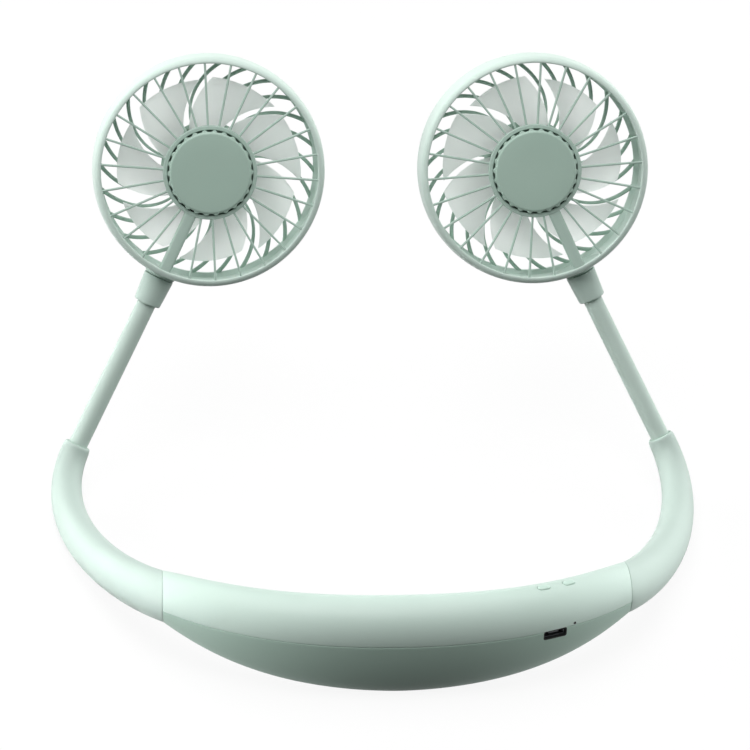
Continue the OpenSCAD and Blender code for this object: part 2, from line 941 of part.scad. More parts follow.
outlet_hub_h = 2.9;
outlet_wall = 1.2;
outlet_edge = 1.1;
module outlet_grille(hand) {
    color(mint_dark)
        head_frame(hand)
            difference() {
                union() {
                    mirror([0, 0, 1])
                        half_ring();
                    for (k = [0 : rib_n - 1])
                        rotate([0, 0, stem_lean - 90 - rib_shift + 360 * k / rib_n])
                            translate([0, 0, spoke_sink - half_depth])
                                swirl_rib();
                    mirror([0, 0, 1])
                        translate([0, 0, half_depth - outlet_hub_h])
                            rotate_extrude()
                                polygon([
                                    [0, outlet_hub_h - outlet_wall],
                                    [hub_r - outlet_wall, outlet_hub_h - outlet_wall],
                                    [hub_r - outlet_wall, 0],
                                    [hub_r, 0],
                                    [hub_r, outlet_hub_h - outlet_edge],
                                    [hub_r - outlet_edge, outlet_hub_h],
                                    [0, outlet_hub_h]
                                ]);
                }
                stem_patch(fit);
            }
}

// Motor, fixed to the motor side's boss

module bearing_bush(hand) {
    color(copper)
        head_frame(hand)
            difference() {
                translate([0, 0, boss_low])
                    cylinder(d = bush_d, h = bush_top - boss_low);
                translate([0, 0, boss_low - over])
                    cylinder(d = shaft_d + 2 * bush_gap, h = bush_top - boss_low + 2 * over);
            }
}

stator_low = -1.6;
stator_top = 3.2;
core_back = 0.1;
stator_core_r = stator_r / 2 - core_back;
pole_w = 2.2;
slot_w = 1.5;
shoe_t = 1.5;
coil_w = 4.2;
coil_over = 1.1;
coil_gap = 0.3;
coil_shoe_gap = 0.5;
coil_in = stator_core_r + coil_gap;
coil_out = stator_r - shoe_t - coil_shoe_gap;

module pole_arms(grow) {
    for (k = [0 : pole_n - 1])
        rotate(360 * k / pole_n)
            translate([0, -(pole_w + grow) / 2])
                square([stator_r - shoe_t / 2, pole_w + grow]);
}

module shoe_slots() {
    for (k = [0 : pole_n - 1])
        rotate(360 * (k + 0.5) / pole_n)
            translate([0, -slot_w / 2])
                square([stator_r + over, slot_w]);
}

module stator_core(hand) {
    color(steel)
        head_frame(hand)
            translate([0, 0, stator_low])
                linear_extrude(stator_top - stator_low)
                    difference() {
                        union() {
                            circle(r = stator_core_r);
                            pole_arms(0);
                            difference() {
                                circle(r = stator_r);
                                circle(r = stator_r - shoe_t);
                                shoe_slots();
                            }
                        }
                        circle(d = boss_d + 2 * close_fit);
                    }
}

module stator_coils(hand) {
    color(copper)
        head_frame(hand)
            for (k = [0 : pole_n - 1])
                rotate([0, 0, 360 * k / pole_n])
                    difference() {
                        translate([coil_in, -coil_w / 2, stator_low - coil_over])
                            cube([coil_out - coil_in, coil_w, stator_top - stator_low + 2 * coil_over]);
                        translate([0, -pole_w / 2 - close_fit, stator_low - close_fit])
                            cube([
                                stator_r, pole_w + 2 * close_fit,
                                stator_top - stator_low + 2 * close_fit
                            ]);
                    }
}

motor_board_t = 1.2;
module motor_board(hand) {
    color(board_green)
        head_frame(hand)
            translate([0, 0, board_seat_z - motor_board_t])
                difference() {
                    cylinder(r = motor_board_r, h = motor_board_t);
                    translate([0, 0, -over])
                        cylinder(d = boss_d + 2 * close_fit, h = motor_board_t + 2 * over);
                }
}

// Impeller: a cup over the motor with swept, pitched blades

cup_top = 5;
cup_low = -8.2;
nose_t = 1.3;
nose_round = 2;
nose_steps = 4;
nose_boss_d = 5.2;
blade_steps = 5;
chord_steps = 6;
blade_camber = 1.2;
blade_tip_r = head_r - tip_in;
blade_tip_low = -7.8;
blade_tip_high = 6.2;
blade_root_low = -7;
blade_root_high = 4.4;
blade_start_angle = 141;
shaft_low = -7.6;
shaft_sink = 0.8;
shaft_top = plate_z - shaft_sink;

// Point of a blade: e runs from hub to tip, c from one edge to the other
function blade_point(e, c, up) =
    let (
        root_r = cup_d / 2 - cup_wall / 2,
        r = root_r + (blade_tip_r - root_r) * e,
        span = 360 / blade_n - blade_gap_angle,
        a = blade_start_angle + blade_gap_angle / 2 - blade_sweep_angle * (1 - e) + span * c,
        low = blade_root_low + (blade_tip_low - blade_root_low) * e,
        high = blade_root_high + (blade_tip_high - blade_root_high) * e,
        z = low + (high - low) * c + blade_camber * 4 * c * (1 - c) + up * blade_t / 2
    )
    [r * cos(a), r * sin(a), z];
module blade() {
    rings = [
        for (i = [0 : blade_steps])
            let (e = i / blade_steps)
            concat(
                [for (k = [0 : chord_steps]) blade_point(e, k / chord_steps, -1)],
                [for (k = [chord_steps : -1 : 0]) blade_point(e, k / chord_steps, 1)]
            )
    ];
    n = len(rings[0]);
    last = blade_steps * n;
    polyhedron(
        flat_list(rings),
        concat(
            [
                for (k = [0 : chord_steps - 1])
                    let (a = k, b = k + 1, c = n - 2 - k, d = n - 1 - k)
                    each [
                        [a, b, c],
                        [a, c, d],
                        [last + a, last + c, last + b],
                        [last + a, last + d, last + c]
                    ]
            ],
            [for (i = [0 : blade_steps - 1]) each band(i, i + 1, n)]
        )
    );
}

module impeller(hand) {
    color(milky)
        head_frame(hand)
            difference() {
                union() {
                    for (k = [0 : blade_n - 1])
                        rotate([0, 0, 360 * k / blade_n])
                            blade();
                    rotate_extrude()
                        polygon(concat(
                            [[0, cup_low]],
                            [
                                for (k = [0 : nose_steps])
                                    let (a = 90 * k / nose_steps)
                                    [
                                        cup_d / 2 - nose_round * (1 - sin(a)),
                                        cup_low + nose_round * (1 - cos(a))
                                    ]
                            ],
                            [[cup_d / 2, cup_top], [0, cup_top]]
                        ));
                }
                difference() {
                    translate([0, 0, cup_low + nose_t])
                        cylinder(d = cup_d - 2 * cup_wall, h = blade_tip_high - cup_low + over);
                    translate([0, 0, cup_low])
                        cylinder(d = nose_boss_d, h = boss_low - cup_low - joint_gap);
                }
                translate([0, 0, shaft_low - close_fit])
                    cylinder(d = shaft_d + 2 * close_fit, h = cup_top);
            }
}

magnet_low = -3.4;
magnet_top = 4;
module rotor_magnet(hand) {
    color(black)
        head_frame(hand)
            translate([0, 0, magnet_low])
                difference() {
                    cylinder(d = cup_d - 2 * cup_wall - 2 * close_fit, h = magnet_top - magnet_low);
                    translate([0, 0, -over])
                        cylinder(
                            d = cup_d - 2 * cup_wall - 2 * close_fit - 2 * magnet_t,
                            h = magnet_top - magnet_low + 2 * over
                        );
                }
}

module motor_shaft(hand) {
    color(steel)
        head_frame(hand)
            translate([0, 0, shaft_low])
                cylinder(d = shaft_d, h = shaft_top - shaft_low);
}

housing_top_shell();
housing_bottom_shell();
battery_cell();
battery_pad();
battery_leads();
control_board();
usb_socket();
tact_switches();
charge_light_pipe();
power_button();
mode_button();
arm_sleeve(LEFT);  // arm_sleeve_left
arm_sleeve(RIGHT);  // arm_sleeve_right
arm_core(LEFT);  // arm_core_left
arm_core(RIGHT);  // arm_core_right
neck_socket(LEFT);  // neck_socket_left
neck_socket(RIGHT);  // neck_socket_right
neck_lower(LEFT);  // neck_lower_left
neck_lower(RIGHT);  // neck_lower_right
neck_upper(LEFT);  // neck_upper_left
neck_upper(RIGHT);  // neck_upper_right
neck_core_lower(LEFT);  // neck_core_lower_left
neck_core_lower(RIGHT);  // neck_core_lower_right
neck_core_upper(LEFT);  // neck_core_upper_left
neck_core_upper(RIGHT);  // neck_core_upper_right
collar(LEFT);  // collar_left
collar(RIGHT);  // collar_right
motor_side_grille(LEFT);  // motor_side_grille_left
motor_side_grille(RIGHT);  // motor_side_grille_right
outlet_grille(LEFT);  // outlet_grille_left
outlet_grille(RIGHT);  // outlet_grille_right
hub_cap(LEFT);  // hub_cap_left
hub_cap(RIGHT);  // hub_cap_right
fan_lead(LEFT);  // fan_lead_left
fan_lead(RIGHT);  // fan_lead_right
bearing_bush(LEFT);  // bearing_bush_left
bearing_bush(RIGHT);  // bearing_bush_right
stator_core(LEFT);  // stator_core_left
stator_core(RIGHT);  // stator_core_right
stator_coils(LEFT);  // stator_coils_left
stator_coils(RIGHT);  // stator_coils_right
motor_board(LEFT);  // motor_board_left
motor_board(RIGHT);  // motor_board_right
impeller(LEFT);  // impeller_left
impeller(RIGHT);  // impeller_right
rotor_magnet(LEFT);  // rotor_magnet_left
rotor_magnet(RIGHT);  // rotor_magnet_right
motor_shaft(LEFT);  // motor_shaft_left
motor_shaft(RIGHT);  // motor_shaft_right
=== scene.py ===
import math

import bmesh
import bpy
import numpy as np
from mathutils import Matrix


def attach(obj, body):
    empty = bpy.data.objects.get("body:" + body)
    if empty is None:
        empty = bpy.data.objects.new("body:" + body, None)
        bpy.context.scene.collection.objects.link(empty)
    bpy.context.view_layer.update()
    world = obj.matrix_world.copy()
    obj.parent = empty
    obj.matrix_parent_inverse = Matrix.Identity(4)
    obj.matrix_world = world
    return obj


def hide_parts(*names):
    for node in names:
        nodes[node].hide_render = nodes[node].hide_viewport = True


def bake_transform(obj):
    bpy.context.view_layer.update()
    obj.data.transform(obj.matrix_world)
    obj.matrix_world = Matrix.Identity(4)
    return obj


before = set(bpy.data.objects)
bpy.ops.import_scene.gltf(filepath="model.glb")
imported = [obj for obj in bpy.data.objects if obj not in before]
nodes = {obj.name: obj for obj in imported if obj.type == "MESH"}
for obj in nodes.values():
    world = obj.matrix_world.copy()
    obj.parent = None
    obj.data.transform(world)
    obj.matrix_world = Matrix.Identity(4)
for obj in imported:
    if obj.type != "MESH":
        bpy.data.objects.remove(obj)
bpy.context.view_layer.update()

# ---- Camera -----------------------------------------------------------------
# The view of the photograph: the housing is nearest, seen a little from the left
# and from above. Its three directions and its place are in metres.

view_right = (0.996528, -0.078348, 0.028184)
view_up = (0.012229, 0.472546, 0.881221)
view_back = (-0.08236, -0.877817, 0.471863)
view_from = (-0.07717, -0.69549, 0.49059)


def standing(right, up, back, place):
    """Matrix of a thing whose X, Y and Z lie along three directions from a place."""
    return Matrix([(right[i], up[i], back[i], place[i]) for i in range(3)] + [(0, 0, 0, 1)])


camera_data = bpy.data.cameras.new("camera")
camera_data.sensor_width = 36
camera_data.lens = 123.36
camera_data.clip_start = 0.05
camera = bpy.data.objects.new("camera", camera_data)
bpy.context.scene.collection.objects.link(camera)
camera.matrix_world = standing(view_right, view_up, view_back, view_from)
bpy.context.scene.camera = camera
bpy.context.scene.view_settings.view_transform = "Standard"


# ---- Studio -----------------------------------------------------------------
# Eight soft lamps: one overhead, one by the camera, one at each side, two low ones
# that reach under the housing, and two behind. The floor and the world are white to
# the eye and dull to the light that they would throw up.

class Value:
    """A number that varies over a surface: each sum or product adds a Math node."""

    def __init__(self, finish, socket):
        self.finish = finish
        self.socket = socket

    def beside(self, name):
        """Another output of the same node."""
        return Value(self.finish, self.socket.node.outputs[name])

    def combined(self, operation, first, second):
        """A Math node of that operation on two values."""
        return self.finish.add("ShaderNodeMath", {"operation": operation}, {0: first, 1: second})

    def __add__(self, other):
        return self.combined("ADD", self, other)

    def __sub__(self, other):
        return self.combined("SUBTRACT", self, other)

    def __rsub__(self, other):
        return self.combined("SUBTRACT", other, self)

    def __mul__(self, other):
        return self.combined("MULTIPLY", self, other)

    __radd__ = __add__
    __rmul__ = __mul__


class Finish:
    """The nodes of one material, or of the world."""

    def __init__(self, owner):
        owner.use_nodes = True
        self.owner = owner
        self.tree = owner.node_tree
        self.tree.nodes.clear()

    def add(self, kind, settings=None, sockets=None, out=0):
        """Adds a node of that kind, sets its settings, then the values or links of its sockets.
        It gives the output that out numbers or names."""
        node = self.tree.nodes.new(kind)
        for name, setting in (settings or {}).items():
            if name == "stops":
                self.lay_stops(node.color_ramp.elements, setting)
            else:
                setattr(node, name, setting)
        for name, given in (sockets or {}).items():
            if isinstance(given, Value):
                self.tree.links.new(given.socket, node.inputs[name])
            else:
                node.inputs[name].default_value = given
        return Value(self, node.outputs[out]) if len(node.outputs) else None

    def lay_stops(self, ramp, stops):
        """Colours of a ramp: it comes with two stops, and more are added."""
        for number, (at, shade) in enumerate(stops):
            stop = ramp[number] if number < 2 else ramp.new(at)
            stop.position = at
            stop.color = (*shade, 1)


def linear(shade):
    """Light of a colour that is written as it shows on screen, 0 to 255."""
    c = np.array(shade, float) / 255
    return tuple(float(x) for x in np.where(c <= 0.04045, c / 12.92, ((c + 0.055) / 1.055) ** 2.4))


def unit(v):
    """A direction at length 1: the vector over the root of its squares' sum."""
    return v / np.linalg.norm(v, axis=-1, keepdims=True)


def soft_light(name, place, target, width, height, power, spread=180, glints=False):
    """A panel of light that faces its target. Only one that glints shows as a highlight: those
    of the side lamps would bleach the top of the housing when it is seen from its end."""
    data = bpy.data.lights.new(name, "AREA")
    data.shape = "RECTANGLE"
    data.size = width
    data.size_y = height
    data.energy = power
    data.spread = math.radians(spread)
    lamp = bpy.data.objects.new(name, data)
    bpy.context.scene.collection.objects.link(lamp)
    lamp.visible_glossy = glints
    away = unit(np.subtract(place, target))
    steep = abs(away[2]) > 0.9
    side = unit(np.cross((0, 1, 0) if steep else (0, 0, 1), away))
    lamp.matrix_world = standing(side, np.cross(away, side), away, place)


# Each lamp: its place, its target, its width and height in metres, and its power in watts.
soft_light("light_over", (0, 0.3, 1.35), (0, 0.08, 0), 1.4, 1.1, 10, glints=True)
soft_light("light_front", (-0.1, -0.22, 0.8), (0, 0.14, 0.1), 0.6, 0.4, 3.1, glints=True)
soft_light("light_left", (-1.1, 0.05, 0.26), (0, 0.06, 0.06), 0.8, 0.5, 8)
soft_light("light_right", (1.1, 0.05, 0.26), (0, 0.06, 0.06), 0.8, 0.5, 4.2)
soft_light("light_low_left", (-0.62, -0.03, 0.04), (-0.06, 0, 0.01), 0.2, 0.07, 0.06, spread=28)
soft_light("light_low_right", (0.62, -0.03, 0.04), (0.06, 0, 0.01), 0.2, 0.07, 0.045, spread=28)
soft_light("light_back_left", (-0.8, 0.9, 0.4), (0, 0.15, 0.1), 0.6, 0.5, 5)
soft_light("light_back_right", (0.8, 0.9, 0.4), (0, 0.15, 0.1), 0.6, 0.5, 5)


def looked_at(finish):
    """1 for the rays that see a backdrop: the camera's, and those mirrored or let through."""
    camera_ray = finish.add("ShaderNodeLightPath")
    through = camera_ray.combined("MAXIMUM", camera_ray, camera_ray.beside("Is Transmission Ray"))
    return through.combined("MAXIMUM", through, camera_ray.beside("Is Glossy Ray"))


world = bpy.data.worlds.new("studio")
bpy.context.scene.world = world
sky = Finish(world)
glow = sky.add("ShaderNodeBackground", sockets={"Color": (1, 1, 1, 1), "Strength": 1.0})
dim = sky.add("ShaderNodeBackground", sockets={"Color": (0.9, 0.95, 0.93, 1), "Strength": 0.01})
backdrop = sky.add("ShaderNodeMixShader", sockets={0: looked_at(sky), 1: dim, 2: glow})
sky.add("ShaderNodeOutputWorld", sockets={"Surface": backdrop})

floor_reach, floor_sink = 4, 2e-4
floor_corners = [(-1, -1), (1, -1), (1, 1), (-1, 1)]
floor_mesh = bpy.data.meshes.new("floor")
floor_mesh.from_pydata(
    [(x * floor_reach, y * floor_reach, -floor_sink) for x, y in floor_corners], [], [(0, 1, 2, 3)]
)
floor = bpy.data.objects.new("floor", floor_mesh)
bpy.context.scene.collection.objects.link(floor)
floor_paint = Finish(bpy.data.materials.new("floor_paint"))
paper = floor_paint.add("ShaderNodeBsdfDiffuse", sockets={"Color": (0.95, 0.95, 0.95, 1)})
lit = floor_paint.add("ShaderNodeEmission", sockets={"Color": (1, 1, 1, 1), "Strength": 1.0})
white = floor_paint.add("ShaderNodeMixShader", sockets={0: 0.9, 1: paper, 2: lit})
dull = floor_paint.add("ShaderNodeBsdfDiffuse", sockets={"Color": (0.02, 0.022, 0.021, 1)})
laid = floor_paint.add("ShaderNodeMixShader", sockets={0: looked_at(floor_paint), 1: dull, 2: white})
floor_paint.add("ShaderNodeOutputMaterial", sockets={"Surface": laid})
floor_mesh.materials.append(floor_paint.owner)


# ---- Housing shells ---------------------------------------------------------
# Two moulded shells meet at a seam round the middle of the curved housing. The
# upper one carries the buttons and the charge light, the lower one is flattened
# where it stands. Satin mint ABS with a fine eroded mould texture; the lower shell
# gets a darker copy of the mint as painted shade. Sizes in mm.

end_x, end_y, seam_h, end_drop = 78.0, 26.7, 22.0, 2.2
end_turn, end_fall = math.radians(46), 0.18
middle_pull, end_pull = 0.545, 0.276
housing_t, crown_h, flat_cut, shell_wall = 20.0, 12.3, 0.8, 1.6
side_taper, rise_taper = 1.5, 1.6
housing_run, seam_round = 96.0, 0.28
arm_root_d = 16.2
button_l, button_w, button_fit = 4.4, 2.4, 0.14
port_w, port_h, port_corner, port_drop = 8.6, 3.4, 0.8, 1.4
light_d, light_corner, light_rise = 1.1, 0.549, 0.9
port_u, light_u, power_u, mode_u = 0.465, 0.548, 0.46, 0.582
cut_clear, cut_reach = 1, 20
along_steps, skin_steps, wall_steps = 130, 97, 49

# The line of the seam, from the middle of the housing at u = 0 to its end at u = 1.
seam_mid = np.array([0, 0, seam_h])
seam_end = np.array([end_x, end_y, seam_h - end_drop])
end_dir = unit(np.array([math.cos(end_turn), math.sin(end_turn), -end_fall]))
seam_line = (seam_mid, seam_mid + (middle_pull * end_x, 0, 0),
             seam_end - end_pull * end_x * end_dir, seam_end)


def curve(pulls, t):
    """Point on a cubic: the end points and the two pulls weighed by the binomial terms of t."""
    t = np.asarray(t, float)[..., None]
    a, b, c, d = (np.asarray(p, float) for p in pulls)
    return (1 - t) ** 3 * a + 3 * t * (1 - t) ** 2 * b + 3 * t * t * (1 - t) * c + t ** 3 * d


def curve_dir(pulls, t):
    """Direction of that cubic: the three differences of its points weighed by the terms of t."""
    t = np.asarray(t, float)[..., None]
    a, b, c, d = (np.asarray(p, float) for p in pulls)
    return unit((1 - t) ** 2 * (b - a) + 2 * t * (1 - t) * (c - b) + t * t * (d - c))


def cut_ring(centre, along, plane, across, upward):
    """Points at across to the side and upward over a line's points, slid along the
    line's direction until they lie in the plane through the line's point."""
    side = unit(np.cross((0.0, 0.0, 1.0), along))
    up = np.cross(along, side)
    v = across[..., None] * side[..., None, :] + upward[..., None] * up[..., None, :]
    slide = np.einsum("...ij,...j->...i", v, plane) / np.sum(along * plane, -1)[..., None]
    return centre[..., None, :] + v - slide[..., None] * along[..., None, :]


def quarter(steps):
    """Angles over a quarter turn."""
    return np.linspace(0, math.pi / 2, steps)


def half_t(u):
    """Half the thickness: it falls to the arm's radius with a power of u."""
    return arm_root_d / 2 + (housing_t / 2 - arm_root_d / 2) * (1 - u ** side_taper)


def rise_at(middle, u):
    """Height over or under the seam: it falls to the arm's radius with a power of u."""
    return arm_root_d / 2 + (middle - arm_root_d / 2) * (1 - u ** rise_taper)


def shell(middle, sign):
    """Rings from the left end to the right one. Each goes over half an ellipse, round its lower
    edge, and back over a smaller half ellipse inside the wall. A quarter circle shrinks the
    outer ellipse at both ends of the housing."""
    edge = 1 - seam_round / housing_run
    half = np.concatenate([np.linspace(0, edge, along_steps), edge + (1 - edge) * np.sin(quarter(6)[1:])])
    w = np.concatenate([-half[:0:-1], half])
    u = np.abs(w)
    past = np.clip((u - edge) / (1 - edge), 0, 1)
    inset = seam_round * (1 - np.sqrt(1 - past ** 2))
    rise = rise_at(middle, u)
    a, b = (half_t(u) - inset)[:, None], (rise - inset)[:, None]
    lip = quarter(6)[:-1]
    lip_side = a - seam_round * (1 - np.sin(lip))
    lip_up = np.broadcast_to(seam_round * (1 - np.cos(lip)), lip_side.shape)
    start = np.arcsin(seam_round / b)
    swept = start + (math.pi - 2 * start) * np.linspace(0, 1, skin_steps)
    wall = np.linspace(math.pi, 0, wall_steps)
    wall_side = (half_t(u)[:, None] - shell_wall) * np.cos(wall)
    wall_up = (rise[:, None] - shell_wall) * np.sin(wall)
    across = np.concatenate([lip_side, a * np.cos(swept), -lip_side[:, ::-1], wall_side], 1)
    upward = sign * np.concatenate([lip_up, b * np.sin(swept), lip_up[:, ::-1], wall_up], 1)
    along = curve_dir(seam_line, u)
    ring = cut_ring(curve(seam_line, u), along, np.broadcast_to([1.0, 0, 0], along.shape), across, upward)
    ring[..., 0] *= np.where(w < 0, -1, 1)[:, None]
    ring[..., 2] = np.maximum(ring[..., 2], 0)
    return ring


def quads(rows, cols, wrap_rows, wrap_cols):
    """Four-sided faces of a grid, joined end to end where it wraps."""
    i = np.arange(rows if wrap_rows else rows - 1)[:, None]
    j = np.arange(cols if wrap_cols else cols - 1)[None, :]
    a, b = (i % rows) * cols + j % cols, ((i + 1) % rows) * cols + j % cols
    c, d = ((i + 1) % rows) * cols + (j + 1) % cols, (i % rows) * cols + (j + 1) % cols
    return np.stack([a, b, c, d], -1).reshape(-1, 4)


def piece(name, grids, finishes, replaced=(), sharp=35, capped=False):
    """One mesh from grids of points in mm. Each grid is its points, whether its rows and its
    columns close on themselves, and the number of its finish where that isn't the first.
    Doubles are merged, faces turned outwards and edges over the sharp angle kept crisp."""
    points, faces, worn, start = [], [], [], 0
    for grid, wrap_rows, wrap_cols, *number in grids:
        rows, cols = grid.shape[:2]
        skin = (quads(rows, cols, wrap_rows, wrap_cols) + start).tolist()
        if capped:
            last = start + (rows - 1) * cols
            skin += [list(range(start, start + cols)), list(range(last, last + cols))]
        points.append(grid.reshape(-1, 3))
        faces += skin
        worn += (number or [0]) * len(skin)
        start += rows * cols
    mesh = bpy.data.meshes.new(name)
    mesh.from_pydata((np.concatenate(points) / 1000).tolist(), [], faces)
    mesh.polygons.foreach_set("material_index", worn)
    work = bmesh.new()
    work.from_mesh(mesh)
    bmesh.ops.remove_doubles(work, verts=work.verts, dist=2e-7)
    bmesh.ops.dissolve_degenerate(work, edges=work.edges, dist=1e-8)
    bmesh.ops.recalc_face_normals(work, faces=work.faces)
    work.to_mesh(mesh)
    work.free()
    mesh.shade_smooth()
    mesh.set_sharp_from_angle(angle=math.radians(sharp))
    for finish in finishes:
        mesh.materials.append(finish)
    made = bpy.data.objects.new(name, mesh)
    bpy.context.scene.collection.objects.link(made)
    if replaced:
        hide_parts(*replaced)
    return made


def cut_out(target, grids):
    """Cuts each closed form out of the target and keeps what is left as its mesh."""
    cutters = [piece("cutter", [(grid, False, True)], []) for grid in grids]
    for cutter in cutters:
        change = target.modifiers.new("cut", "BOOLEAN")
        change.operation = "DIFFERENCE"
        change.solver = "EXACT"
        change.object = cutter
    bpy.context.view_layer.update()
    done = target.evaluated_get(bpy.context.evaluated_depsgraph_get())
    mesh = bpy.data.meshes.new_from_object(done)
    mesh.set_sharp_from_angle(angle=math.radians(35))
    target.modifiers.clear()
    whole = target.data
    target.data = mesh
    bpy.data.meshes.remove(whole)
    for cutter in cutters:
        bpy.data.objects.remove(cutter)


def moulded(name, shade, deep, rough, grain=0.5):
    """Satin moulded plastic: a faint drift between two tones, a few centimetres wide, and a
    mould grain of under half a millimetre in its gloss and its relief. Scales are per metre."""
    finish = Finish(bpy.data.materials.new(name))
    place = finish.add("ShaderNodeTexCoord", out="Object")
    drift = finish.add("ShaderNodeTexNoise", sockets={"Vector": place, "Scale": 28.0, "Detail": 3.0})
    fine = finish.add("ShaderNodeTexNoise", sockets={"Vector": place, "Scale": 2600.0, "Detail": 2.0})
    cells = finish.add("ShaderNodeTexVoronoi", sockets={"Vector": place, "Scale": 1700.0})
    base = finish.add("ShaderNodeValToRGB", {"stops": [(0.3, linear(deep)), (0.7, linear(shade))]},
                      {"Fac": drift * 0.8 + fine * 0.2})
    relief = finish.add("ShaderNodeBump", sockets={
        "Height": cells * 0.5 + fine * 0.5, "Strength": grain, "Distance": 0.00003
    })
    body = finish.add("ShaderNodeBsdfPrincipled", sockets={
        "Base Color": base, "Roughness": rough + fine * 0.08 - 0.04, "Normal": relief,
        "IOR": 1.45, "Specular IOR Level": 0.4
    })
    finish.add("ShaderNodeOutputMaterial", sockets={"Surface": body})
    return finish.owner


def seam_z(u):
    """Height of the seam."""
    return float(curve(seam_line, u)[2])


def seam_frame(u, z):
    """Origin and directions at u: X along the housing, Y to its far side, Z up, from height z."""
    at, along = curve(seam_line, u), curve_dir(seam_line, u)
    turn = math.atan2(along[1], along[0])
    c, s = math.cos(turn), math.sin(turn)
    return np.array([at[0], at[1], z]), np.array([[c, s, 0], [-s, c, 0], [0, 0, 1]])


def facing_frame(u, z):
    """Frame at u whose Z points out of the near side."""
    origin, directions = seam_frame(u, z)
    return origin, np.array([[1.0, 0, 0], [0, 0, 1.0], [0, -1.0, 0]]) @ directions


def top_frame(u):
    """Frame at u on the top of the housing."""
    return seam_frame(u, seam_z(u) + rise_at(crown_h, u))


def placed(points, frame_at):
    """Points of a local frame, moved to its origin along its three directions."""
    origin, directions = frame_at
    return origin + points @ directions


def pill_ring(length, width, count=48):
    """Outline of a slot: two half circles apart by its length less its width."""
    a = np.linspace(0, 2 * math.pi, count, endpoint=False) + math.pi / count
    return np.stack([np.sign(np.cos(a)) * (length - width) / 2 + width / 2 * np.cos(a),
                     width / 2 * np.sin(a)], -1)


def block_ring(width, height, corner, count=10):
    """Outline of a rectangle with round corners: four quarter circles."""
    a = quarter(count)
    quarters = [np.stack([sx * (width / 2 - corner) + corner * np.cos(a + k * math.pi / 2),
                          sy * (height / 2 - corner) + corner * np.sin(a + k * math.pi / 2)], -1)
                for k, (sx, sy) in enumerate([(1, 1), (-1, 1), (-1, -1), (1, -1)])]
    return np.concatenate(quarters)


def stacked(rings, heights):
    """Flat outlines at their heights, closed to their middle below and above."""
    rings = [0 * rings[0] + rings[0].mean(0), *rings, 0 * rings[-1] + rings[-1].mean(0)]
    heights = [heights[0], *heights, heights[-1]]
    return np.stack([np.column_stack([ring, np.full(len(ring), z)]) for ring, z in zip(rings, heights)])


shell_top = piece("shell_top", [(shell(crown_h, 1), False, True)],
                  [moulded("mint_top", (203, 222, 213), (197, 217, 207), 0.42)],
                  ["housing_top_shell"], capped=True)
# The lower shell's mint is darker than the upper's: painted shade, for the same plastic facing down.
shell_low = piece("shell_low", [(shell(seam_h + flat_cut, -1), False, True)],
                  [moulded("painted_shade_mint_low", (178, 202, 190), (172, 197, 184), 0.5)],
                  ["housing_bottom_shell"], capped=True)
port_frame = facing_frame(port_u, seam_z(port_u) - port_drop)
port_slot = placed(stacked([block_ring(port_w, port_h, port_corner)] * 2, [0, cut_reach]), port_frame)
light_hole = placed(stacked([block_ring(light_d, light_d, light_corner)] * 2, [0, cut_reach]),
                    facing_frame(light_u, seam_z(light_u) + light_rise))
slot_ring = pill_ring(button_l + 2 * button_fit, button_w + 2 * button_fit)
button_slots = [
    placed(stacked([slot_ring] * 2, [cut_clear - rise_at(crown_h, u), cut_clear]), top_frame(u))
    for u in (power_u, mode_u)
]
cut_out(shell_top, [*button_slots, port_slot, light_hole])
cut_out(shell_low, [port_slot])
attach(shell_top, "band")
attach(shell_low, "band")


# ---- Port liner: painted shade ----------------------------------------------
# A black sleeve lines the charging port, just under the skin of the two shells,
# and stops the eye before the housing's hollow: it is painted shade, a dark sheet
# for the dark inside the port.

liner_fit, liner_wall, liner_sink, liner_depth = 0.06, 0.35, 0.12, 3.2


def port_shade_liner():
    """The port's outline carried inwards, and back along one smaller by the wall."""
    rows = []
    for inset, sink in ((liner_fit, liner_sink), (liner_fit, liner_depth),
                        (liner_wall, liner_depth), (liner_wall, liner_sink)):
        ring = block_ring(port_w - 2 * inset, port_h - 2 * inset, port_corner - inset / 2)
        rows.append(np.column_stack([ring, np.full(len(ring), half_t(port_u) - sink)]))
    return placed(np.stack(rows), port_frame)


# Its black is painted shade for the inside of the port.
liner = piece("port_shade_liner", [(port_shade_liner(), True, True)],
              [moulded("painted_shade_liner", (26, 28, 28), (18, 20, 20), 0.6, 0.3)])
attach(liner, "band")


# ---- Buttons ----------------------------------------------------------------
# Two small slot-shaped keys in the top of the housing, power and speed, moulded
# with a soft dome and a rounded edge. Each slides down onto its switch, and a
# flange under the shell keeps it in.

button_proud, button_edge, button_dome, dome_sink = 0.3, 0.35, 0.16, 0.2
flange_reach, flange_t, flange_play = 0.5, 1, 0.9


def button(u):
    """Slot outlines stacked up: flange, key, edge rounded by a quarter circle, and a dome that
    rises by a parabola towards the middle."""
    seat = -shell_wall - flange_play
    shoulder = button_proud - button_edge
    turn = quarter(6)[1:]
    k = np.array([0.45, 0.7, 0.9])
    inset = np.concatenate([[0, 0], button_edge * (1 - np.cos(turn)), button_w / 2 * k])
    height = np.concatenate([[seat, shoulder], shoulder + button_edge * np.sin(turn),
                             button_proud + button_dome * (1 - (1 - k) ** 2 - dome_sink)])
    flange = pill_ring(button_l + 2 * flange_reach, button_w + 2 * flange_reach)
    key = [pill_ring(button_l - 2 * i, button_w - 2 * i) for i in inset]
    return placed(stacked([flange, flange, *key], [seat - flange_t, seat, *height]), top_frame(u))


for name, u in (("power_button", power_u), ("mode_button", mode_u)):
    key = piece("key_" + name, [(button(u), False, True)],
                [moulded("mint_" + name, (201, 225, 213), (196, 220, 208), 0.38, 0.3)],
                [name], 45)
    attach(key, name)


# ---- Arm sleeves ------------------------------------------------------------
# A soft over-moulded sleeve runs from each end of the housing to the gooseneck.
# It tapers all the way and ends in a rounded shoulder. Silicone over a core. Its
# mouth points at the fan head, whose place and lean are therefore set here.

